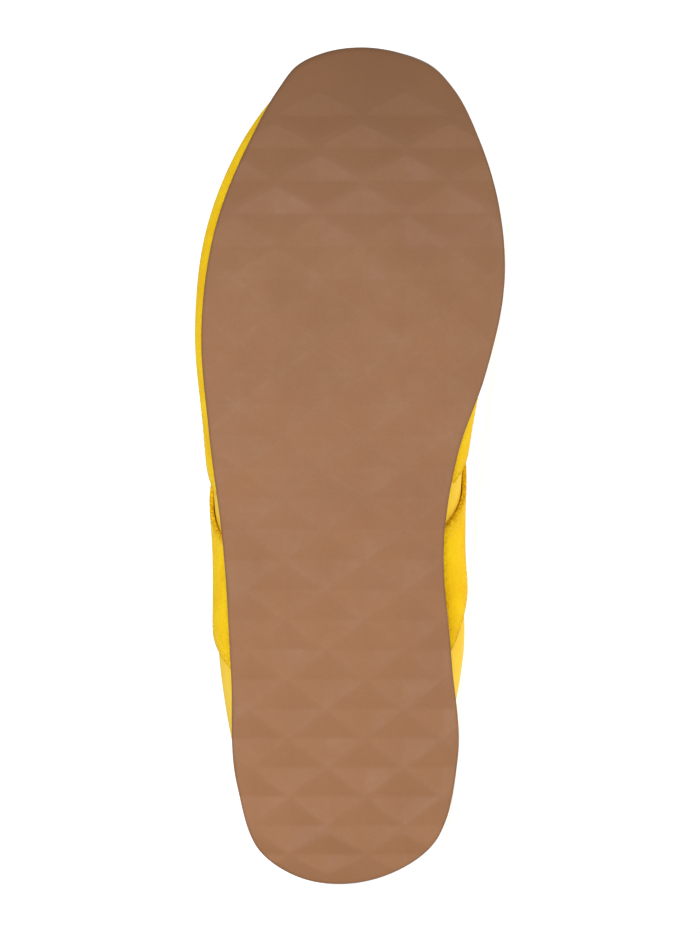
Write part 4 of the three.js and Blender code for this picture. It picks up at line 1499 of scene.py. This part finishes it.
@dataclass
class Overlays:
    """The suede pieces stitched on the upper, and their seams."""

    foot: float = 0.02
    rand_columns: int = 260
    rand_rows: int = 26
    saddle_columns: int = 44
    saddle_rows: int = 90
    seam_inset: float = 2.2
    edge: float = 0.55
    thread_sink: float = 0.12
    rand_sample: float = 0.05
    saddle_sample: float = 0.002
    saddle_seam: tuple[float, float] = (0.06, 0.97)
    collar_end: float = 0.85
    collar_sink: float = 0.45
    top_seam: float = 0.945
    top_sink: float = 0.05
    heel_seam: tuple[float, float] = (0.05, 0.66)
    heel_aside: float = 1.6
    heel_proud: float = 0.02
    stitch_spacing: float = 2.5
    stitch_length: float = 2.0
    stitch_width: float = 0.5

    def rand_curve(self) -> tuple[list[float], SmoothCurve]:
        """Places of the rand's rows and its upper edge over them."""
        places = [FORM.side_place(row.side, row.along) for row in RAND]
        return places, SmoothCurve(places, [row.up for row in RAND], False)

    def saddle_edges(self, side: Side) -> tuple[SmoothCurve, SmoothCurve]:
        """Rear and front edge of a saddle piece, as places over the share of the wall."""
        rows = SADDLES[side]
        ups = [row.up for row in rows]
        rear = SmoothCurve(ups, [FORM.side_place(side, row.rear) for row in rows], False)
        front = SmoothCurve(ups, [FORM.side_place(side, row.front) for row in rows], False)
        return rear, front

    def sheet(self, name: str, t: Array, v: Array, suede: bpy.types.Material) -> bpy.types.Object:
        """A suede sheet over a grid of places and shares of the wall.

        Args:
            name: name of the piece.
            t: places by column and row.
            v: shares of the wall by column and row.
            suede: its material.

        Returns:
            The piece, with rounded edges.
        """
        outer = FORM.off_wall(t, v, FORM.gap + FORM.overlay)
        patch = Patch()
        patch.add_slab(outer, FORM.off_wall(t, v, FORM.gap))
        piece = patch.make(name, [suede])
        inwards = np.tile(from_border(outer).ravel(), 2) * MM
        piece.data.attributes.new("border", "FLOAT", "POINT").data.foreach_set("value", inwards)
        round_edges(piece, self.edge)
        return piece

    def rand(self, suede: bpy.types.Material) -> bpy.types.Object:
        """Makes the piece round the toe."""
        places, top = self.rand_curve()
        t = np.linspace(places[0], places[-1], self.rand_columns)[:, None]
        v = blend(self.foot, top(t[:, 0])[:, None], np.linspace(0, 1, self.rand_rows)[None, :])
        return place_piece(self.sheet("suede_rand", t + 0 * v, v, suede), Slot.SUEDE, "toe_rand")

    def saddle(self, side: Side, suede: bpy.types.Material, lacing: "Lacing") -> bpy.types.Object:
        """Makes the saddle piece of one side, with its eyelet holes.

        Args:
            side: which side.
            suede: its material.
            lacing: the lacing, which knows where the holes go.

        Returns:
            The piece.
        """
        rear, front = self.saddle_edges(side)
        v = np.linspace(self.foot, 1.0, self.saddle_rows)[None, :]
        ends = [rear(v[0]), front(v[0])] if side is Side.OUTER else [front(v[0]), rear(v[0])]
        t = blend(ends[0][None, :], ends[1][None, :], np.linspace(0, 1, self.saddle_columns)[:, None])
        piece = self.sheet(f"suede_saddle_{side.value}", t, v + 0 * t, suede)
        lacing.punch(piece, side, suede)
        return place_piece(piece, Slot.SUEDE, f"saddle_{side.value}")

    def seam_lines(self) -> list[Array]:
        """Lines that the stitches follow, on the suede near its edges."""
        proud = FORM.gap + FORM.overlay - self.thread_sink
        insets = (self.seam_inset, 2 * self.seam_inset)
        lines = []
        places, top = self.rand_curve()
        t = np.linspace(places[0], places[-1], 400)[3:-3]
        below = FORM.wall_at(t, top(t) - self.rand_sample)
        height = np.linalg.norm(FORM.wall_at(t, top(t)) - below, axis=-1) / self.rand_sample
        for inset in insets:
            v = top(t) - inset / height
            keep = v > 2 * self.foot
            lines.append(FORM.off_wall(t[keep], v[keep], proud + 0 * v[keep]))
        for side in Side:
            rear, front = self.saddle_edges(side)
            v = np.linspace(*self.saddle_seam, 200)
            turn = 1 if side is Side.OUTER else -1
            for edge, sense in ((rear, turn), (front, -turn)):
                asides = (self.saddle_sample, -self.saddle_sample)
                ends = [FORM.wall_at(edge(v) + aside, v) for aside in asides]
                step = np.linalg.norm(ends[0] - ends[1], axis=-1) / (2 * self.saddle_sample)
                for inset in insets:
                    lines.append(FORM.off_wall(edge(v) + sense * inset / step, v, proud + 0 * v))
        return lines

    def collar_lines(self) -> list[Array]:
        """Lines of the stitches below the padded collar and beside the heel seam."""
        outer, inner = (float(self.saddle_edges(side)[0](self.collar_end)) for side in Side)
        around = np.concatenate([np.linspace(inner, 1, 160)[:-1], np.linspace(0, outer, 160)])[8:-8]
        lines = [FORM.off_wall(around, Upper.collar_line, -self.collar_sink + 0 * around)]
        lines.append(FORM.off_wall(around, self.top_seam, -self.top_sink + 0 * around))
        v = np.linspace(*self.heel_seam, 80)
        for aside in (-self.heel_aside, self.heel_aside):
            lines.append(FORM.off_wall(aside / FORM.perimeter, v, self.heel_proud + 0 * v))
        return lines

    def seams(self, thread: bpy.types.Material, tongue: "Tongue") -> bpy.types.Object:
        """Sews the stitches along the suede's edges, the collar and the tongue's border.

        Args:
            thread: the stitches' material.
            tongue: the tongue, which knows its border.

        Returns:
            The piece.
        """
        piece = line_piece("upper_stitches", self.seam_lines() + self.collar_lines() + [tongue.border_line()])
        stitch_tree().apply(piece, Spacing=self.stitch_spacing * MM, Length=self.stitch_length * MM,
                            Width=self.stitch_width * MM, Thread=thread)
        return place_piece(piece, Slot.LACE)


@dataclass
class Tongue:
    """Padded tongue, under the edges of the lacing opening."""

    rows: int = 41
    throat_columns: int = 46
    free_columns: int = 14
    thick: float = 4.0
    clear: float = 1.2
    crown: float = 0.1
    crown_from: float = 0.3
    crown_to: float = 0.86
    first: float = 0.668
    top: float = 0.425
    top_reach: float = 1.25
    blend_length: float = 16.0
    free_length: float = 21.0
    seam_inset: float = 4.0
    tip_width: float = 0.8
    tip_round: float = 0.22
    tip_ease: float = 1.7
    relaxed_by: float = 0.6
    edge_reach: float = 0.7
    edge_least: float = 0.12
    corner_reach: float = 1.6

    def face(self, depth: float) -> Array:
        """One face of the tongue, by column from the toe end and row from the outer side.

        Args:
            depth: how far below its outer face.

        Returns:
            A grid of points.
        """
        first, top = self.first * FORM.length, self.top * FORM.length
        across = np.sin(np.linspace(-math.pi / 2, math.pi / 2, self.rows))
        sink = FORM.wall + self.clear
        ends = [FORM.throat_place(side, first) for side in Side]
        t = blend(ends[0], ends[1], (across + 1) / 2)
        v = FORM.share_below(t, FORM.throat_overlap)
        under = FORM.wall_at(t, v) - (sink + depth) * FORM.wall_normal(t, v)
        x = np.linspace(first, top, self.throat_columns)[:, None]
        a = across * blend(self.top_reach, 2, smoothstep(x, top, top + self.blend_length))
        crowned = 1 - smoothstep(np.abs(a), self.crown_from, self.crown_to)
        crowned = crowned * smoothstep(first - x, 0, self.blend_length)
        away = blend(-sink, self.crown, crowned) - depth
        grid = [under, *(FORM.throat(x, a) + FORM.throat_normal(x, a) * away[..., None])]
        rise = unit(FORM.throat(top, 0) - FORM.throat(top + self.blend_length, 0))
        last = grid[-1]
        middle = last[self.rows // 2]
        chord = blend(last[0], last[-1], (across[:, None] + 1) / 2)
        arch = chord + (middle - chord[self.rows // 2]) * (1 - across[:, None] ** 2)
        for past in 1 - (1 - np.linspace(0, 1, self.free_columns + 1)[1:]) ** self.tip_ease:
            width = blend(1, self.tip_width, past * past)
            corner = 1 - self.tip_round * past * np.abs(across) ** 3
            relaxed = blend(last, arch, smoothstep(past, 0, self.relaxed_by))
            climb = (self.free_length * past * corner)[:, None]
            grid.append(middle + (relaxed - middle) * width + rise * climb)
        return np.array(grid)

    def from_side(self, grid: Array) -> Array:
        """Distance of each point from the tongue's outer side, along its column."""
        steps = np.linalg.norm(np.diff(grid, axis=1), axis=-1)
        return np.concatenate([np.zeros((len(grid), 1)), np.cumsum(steps, axis=1)], axis=1)

    def fullness(self, grid: Array) -> Array:
        """Share of the full thickness at each point, thinning to round edges."""
        side = self.from_side(grid)
        climbs = np.linalg.norm(np.diff(grid, axis=0), axis=-1)
        tip = np.concatenate([np.cumsum(climbs[::-1], axis=0)[::-1], np.zeros((1, self.rows))])
        near = np.minimum(np.minimum(side, side[:, -1:] - side), tip) / (self.thick * self.edge_reach)
        return np.maximum(self.edge_least, np.sqrt(1 - (1 - np.clip(near, 0, 1)) ** 2))

    def border_line(self) -> Array:
        """Line of stitches inside the edge of the tongue's free end."""
        grid = self.face(0.0)[-self.free_columns - 3:]
        steps = self.from_side(grid)
        climbs = np.linalg.norm(np.diff(grid[:, self.rows // 2], axis=0), axis=-1)
        last = len(grid) - 1 - int(np.searchsorted(np.cumsum(climbs[::-1]), self.seam_inset))
        sides = []
        for end, sign in ((0, 1), (1, -1)):
            places = steps[:last, -1] * end + sign * self.seam_inset
            sides.append([np.array([np.interp(place, row, points[:, k]) for k in range(3)])
                          for row, points, place in zip(steps[:last], grid[:last], places)])
        corner = self.corner_reach * self.seam_inset
        inside = (steps[last] > corner) & (steps[last] < steps[last, -1] - corner)
        return np.array([*sides[0], *grid[last][inside], *sides[1][::-1]])

    def build(self, shell: bpy.types.Material, lining: bpy.types.Material) -> bpy.types.Object:
        """Makes the tongue.

        Args:
            shell: its face.
            lining: its back.

        Returns:
            The piece.
        """
        outer, inner = self.face(0.0), self.face(self.thick)
        full = self.fullness(outer)[..., None]
        middle, half = (outer + inner) / 2, (outer - inner) / 2 * full
        patch = Patch()
        patch.add_slab(middle - half, middle + half, numbers=(1, 0))
        piece = patch.make("padded_tongue", [shell, lining], 80)
        place_piece(piece, Slot.SHELL, "tongue")
        return piece


@dataclass
class Lacing:
    """The flat lace and its eyelets."""

    width: float = 5.8
    thick: float = 1.5
    pairs: int = 6
    inset: float = 8.0
    first: float = 0.635
    last: float = 0.432
    lift: float = 0.8
    hole_radius: float = 2.3
    hole_width: float = 3.3
    hole_height: float = 0.75
    hole_past: float = 0.7
    tuck_across: float = 1.85
    tuck_width: float = 4.2
    tuck_thick: float = 0.9
    tuck_depth: float = 2.6
    behind_bar: float = 0.25
    around: int = 14
    end_share: float = 0.1
    end_rows: int = 13
    middle_rows: int = 41
    dive: tuple[float, float] = (0.5, 0.96)
    narrow: tuple[float, float] = (0.4, 0.85)
    level_off: tuple[float, float] = (0.5, 1.0)
    plunge_mm: tuple[float, float] = (-2.0, 0.5)
    taper_mm: tuple[float, float] = (-5.0, -1.5)
    clear: float = 0.15
    side_power: float = 0.6
    face_power: float = 0.8
    hole_depth: float = 6.0
    ring_radius: float = 2.6
    ring_roll: float = 0.5
    # Thickness of the painted-shadow disc in each eyelet hole.
    shadow_disc_thick: float = 0.1

    def along(self, pair: float) -> float:
        """Distance from the heel of a pair of eyelets."""
        return float(blend(self.first, self.last, pair / (self.pairs - 1))) * FORM.length

    def eyelet_across(self, past: float = 0.0) -> float:
        """How far across the throat's form the eyelets lie, or a place some millimetres past them."""
        return 1 + (self.inset + past) / FORM.throat_overlap

    def run(self, patch: Patch, start: tuple[float, float], end: tuple[float, float], sense: int,
            lift: float) -> None:
        """One run of the lace over the throat.

        Args:
            patch: where it goes.
            start: distance from the heel and place across where it starts.
            end: the same for its end.
            sense: 1 when it starts on the outer side, else -1.
            lift: how far it rises where two runs cross.
        """
        near, far = self.end_share, 1 - self.end_share
        shares = np.concatenate([np.linspace(0, near, self.end_rows)[:-1],
                                 np.linspace(near, far, self.middle_rows)[:-1],
                                 np.linspace(far, 1, self.end_rows)])
        x = blend(start[0], end[0], shares)
        place = blend(-start[1], end[1], shares)
        out = np.abs(place)
        tucked = np.where(place < 0, start[1], end[1]) < self.eyelet_across()
        dive = smoothstep(out, *self.dive) * tucked
        narrow = smoothstep(out, *self.narrow) * tucked
        plunge, taper = (smoothstep(out, *map(self.eyelet_across, past)) * ~tucked
                         for past in (self.plunge_mm, self.taper_mm))
        height = 2 * FORM.gap + FORM.overlay + self.thick / 2 + self.clear
        height = height + lift * (1 - smoothstep(out, *self.level_off))
        height = blend(blend(height, -self.tuck_depth, dive), self.hole_height, plunge)
        width = blend(blend(self.width, self.tuck_width, narrow), self.hole_width, taper)
        thick = blend(self.thick, self.tuck_thick, dive)
        across = sense * place
        up = FORM.throat_normal(x, across)
        path = FORM.throat(x, across) + up * height[:, None]
        ahead = unit(np.gradient(path, axis=0))
        sideways = unit(np.cross(ahead, up))
        up = np.cross(sideways, ahead)
        angles = np.linspace(0, 2 * math.pi, self.around, endpoint=False)
        squared = np.sign(np.cos(angles)) * np.abs(np.cos(angles)) ** self.side_power
        flat = np.sign(np.sin(angles)) * np.abs(np.sin(angles)) ** self.face_power
        tube = (path + sideways * (squared[:, None] * width / 2)[..., None]
                + up * (flat[:, None] * thick / 2)[..., None])
        index = patch.add_grid(tube, ring=True, flip=True)
        for end_row, turn in ((0, 1), (len(shares) - 1, -1)):
            patch.add_faces([tuple(index(c, end_row) for c in range(self.around))[::turn]])

    def build(self, weave: bpy.types.Material) -> bpy.types.Object:
        """Makes every run of the lace, from eyelet to eyelet and under the far edge.

        Args:
            weave: its cloth.

        Returns:
            The piece.
        """
        patch = Patch()
        eyelet = self.eyelet_across(self.hole_past)
        self.run(patch, (self.along(0), eyelet), (self.along(0), eyelet), 1, 0.0)
        nodes = ["lace_bar"]
        for pair in range(self.pairs - 1):
            start = (self.along(pair), eyelet) if pair else (self.along(self.behind_bar), self.tuck_across)
            end = (self.along(pair + 1), self.tuck_across)
            for sense in (1, -1):
                over = (pair % 2 == 0) == (sense == 1)
                self.run(patch, start, end, sense, self.lift if over else -self.lift)
            nodes.append(f"lace_crossing_{pair + 1}")
        return place_piece(patch.make("flat_lace", [weave], 70), Slot.LACE, *nodes)

    def marks(self, name: str, sides: Sequence[Side]) -> bpy.types.Object:
        """Points at the eyelets, each with the direction it faces.

        Args:
            name: name of the object.
            sides: sides of the shoe whose eyelets are marked.

        Returns:
            The marks, on the suede's outer face.
        """
        points, facing = [], []
        for pair in range(self.pairs):
            for side in sides:
                x = np.array(self.along(pair))
                a = np.array(self.eyelet_across() * (-1 if side is Side.OUTER else 1))
                normal = FORM.throat_normal(x, a)
                points.append(FORM.throat(x, a) + normal * (FORM.gap + FORM.overlay))
                facing.append(normal)
        return add_marks(name, points, facing=np.array(facing) @ LYING.axes())

    def punch(self, piece: bpy.types.Object, side: Side, suede: bpy.types.Material) -> None:
        """Cuts the eyelet holes through a saddle piece."""
        marks = self.marks("hole_marks", (side,))
        hole_tree().apply(piece, Marks=marks, Radius=self.hole_radius * MM, Depth=self.hole_depth * MM,
                          Finish=suede)
        bpy.data.objects.remove(marks)
        shade_smooth(piece, 50)

    def eyelets(self, finish: bpy.types.Material, shadow: bpy.types.Material) -> bpy.types.Object:
        """Sets a rolled ring round each eyelet hole, and in the hole a dark disc of painted shadow.

        Args:
            finish: the rings' material.
            shadow: the dark disc's material, painted shadow.

        Returns:
            The piece.
        """
        piece = self.marks("eyelet_rings", tuple(Side))
        sink = FORM.overlay + FORM.gap / 2
        eyelet_tree().apply(piece, Radius=self.ring_radius * MM, Roll=self.ring_roll * MM, Sink=-sink * MM,
                            Floor=self.shadow_disc_thick * MM, Finish=finish, Shadow=shadow)
        return place_piece(piece, Slot.SUEDE)


@dataclass
class Studio:
    """Pale floor, soft light and the camera square to the sole."""

    distance: float = 1500.0
    centre: tuple[float, float] = (130.2, -0.15)
    mm_per_pixel: float = 0.3112
    picture: tuple[int, int] = (700, 933)
    key_at: Point = (168.0, -118.0, -640.0)
    key_size: float = 0.24
    key_watts: float = 3.7
    sky: float = 0.35
    floor_glow: float = 0.94
    wall_glow: float = 1.05
    wall_radius: float = 7.0
    wall_height: float = 5.0
    wall_sides: int = 32
    sensor: float = 24.0
    sight: float = 20.0
    paint: Colour = (0.2, 0.2, 0.2)
    heart: Point = (0.0, 0.0, 0.05)
    key_height: float = 20.0
    lamps: tuple[tuple[str, Point, float, float], ...] = (
        ("overhead", (0.0, -0.25, 1.1), 0.9, 2.4),
        ("side", (-0.45, 0.5, 0.62), 0.22, 2.0),
    )

    def camera(self) -> None:
        """Sets the camera at the photograph's angle."""
        data = bpy.data.cameras.new("camera")
        data.sensor_fit = "VERTICAL"
        data.sensor_height = self.sensor
        data.lens = data.sensor_height * self.distance / (self.picture[1] * self.mm_per_pixel)
        data.clip_end = self.sight
        camera = add_object("camera", data)
        axes = LYING.axes()
        right, up, back = axes[1], axes[0], -axes[2]
        place = LYING.to_row(np.array([self.centre[0], self.centre[1], -self.distance]))
        turn = Matrix(np.stack([right, up, back], axis=1).tolist()).to_4x4()
        camera.matrix_world = Matrix.Translation(Vector(place)) @ turn
        bpy.context.scene.camera = camera

    def lamp(self, name: str, at: Vector, to: Vector, size: float, watts: float) -> None:
        """Adds a soft square lamp.

        Args:
            name: its name.
            at: where it is, in metres.
            to: what it faces.
            size: its side, in metres.
            watts: its power.
        """
        data = bpy.data.lights.new(name, "AREA")
        data.size = size
        data.energy = watts
        lamp = add_object(name, data)
        lamp.location = at
        lamp.rotation_euler = (to - at).to_track_quat("-Z", "Y").to_euler()

    def sheet(self, name: str, corners: Sequence[Point], faces: Quads, glow: float) -> bpy.types.Object:
        """Adds a plain pale sheet of the studio.

        Args:
            name: its name.
            corners: its corners in metres.
            faces: its faces.
            glow: light that it gives off.

        Returns:
            The sheet.
        """
        shade = Shade(f"pale_{name}")
        shade.set(Base_Color=(*self.paint, 1), Roughness=0.95, Specular_IOR_Level=0.0)
        shade.set(Emission_Color=(1, 1, 1, 1), Emission_Strength=glow)
        mesh = bpy.data.meshes.new(name)
        mesh.from_pydata(corners, [], faces)
        mesh.materials.append(shade.material)
        made = add_object(name, mesh)
        return made

    def room(self) -> None:
        """Makes the round floor, and round it a wall that lights nothing."""
        angles = np.linspace(0, 2 * math.pi, self.wall_sides, endpoint=False)
        low = [(self.wall_radius * math.cos(a), self.wall_radius * math.sin(a), 0.0) for a in angles]
        high = [(x, y, self.wall_height) for x, y, _ in low]
        count = self.wall_sides
        self.sheet("floor", low, [tuple(range(count))], self.floor_glow)
        around = [(i, count + i, count + (i + 1) % count, (i + 1) % count) for i in range(count)]
        wall = self.sheet("backdrop", low + high, around, self.wall_glow)
        wall.visible_diffuse = wall.visible_glossy = False

    def build(self) -> None:
        """Makes the room, the lamps, the sky and the camera."""
        self.room()
        world = bpy.data.worlds.new("studio")
        world.use_nodes = True
        background = world.node_tree.nodes["Background"].inputs
        background["Color"].default_value = (1, 1, 1, 1)
        background["Strength"].default_value = self.sky
        bpy.context.scene.world = world
        for name, at, size, watts in self.lamps:
            self.lamp(name, Vector(at), Vector(self.heart), size, watts)
        middle = Vector(LYING.to_row(np.array([self.centre[0], 0, self.key_height])))
        self.lamp("key", Vector(LYING.to_row(np.array(self.key_at))), middle, self.key_size, self.key_watts)
        bpy.context.scene.view_settings.view_transform = "Standard"
        self.camera()


def main() -> None:
    """Builds the sneaker piece by piece, then its studio."""
    logging.basicConfig(level=logging.INFO, format="%(name)s %(message)s")
    suede, shell = Suede().material(), Shell().material()
    lining, thread = LiningCloth().material(), Thread().material()
    gum = GumRubber()
    Outsole().build(gum.material("gum_rubber", 1.0), gum.material("gum_ridges", gum.ridge_level))
    Upper().build(shell, lining)
    Insole().build(lining)
    overlays = Overlays()
    lacing = Lacing()
    overlays.rand(suede)
    for side in Side:
        overlays.saddle(side, suede, lacing)
    tongue = Tongue()
    overlays.seams(thread, tongue)
    tongue.build(shell, lining)
    lacing.build(LaceWeave().material())
    # The eyelet holes get a dark copy of the gum as painted shadow.
    lacing.eyelets(suede, gum.material("eyelet_hole", gum.hole_shadow_level))
    Studio().build()


if __name__ == "__main__":
    main()
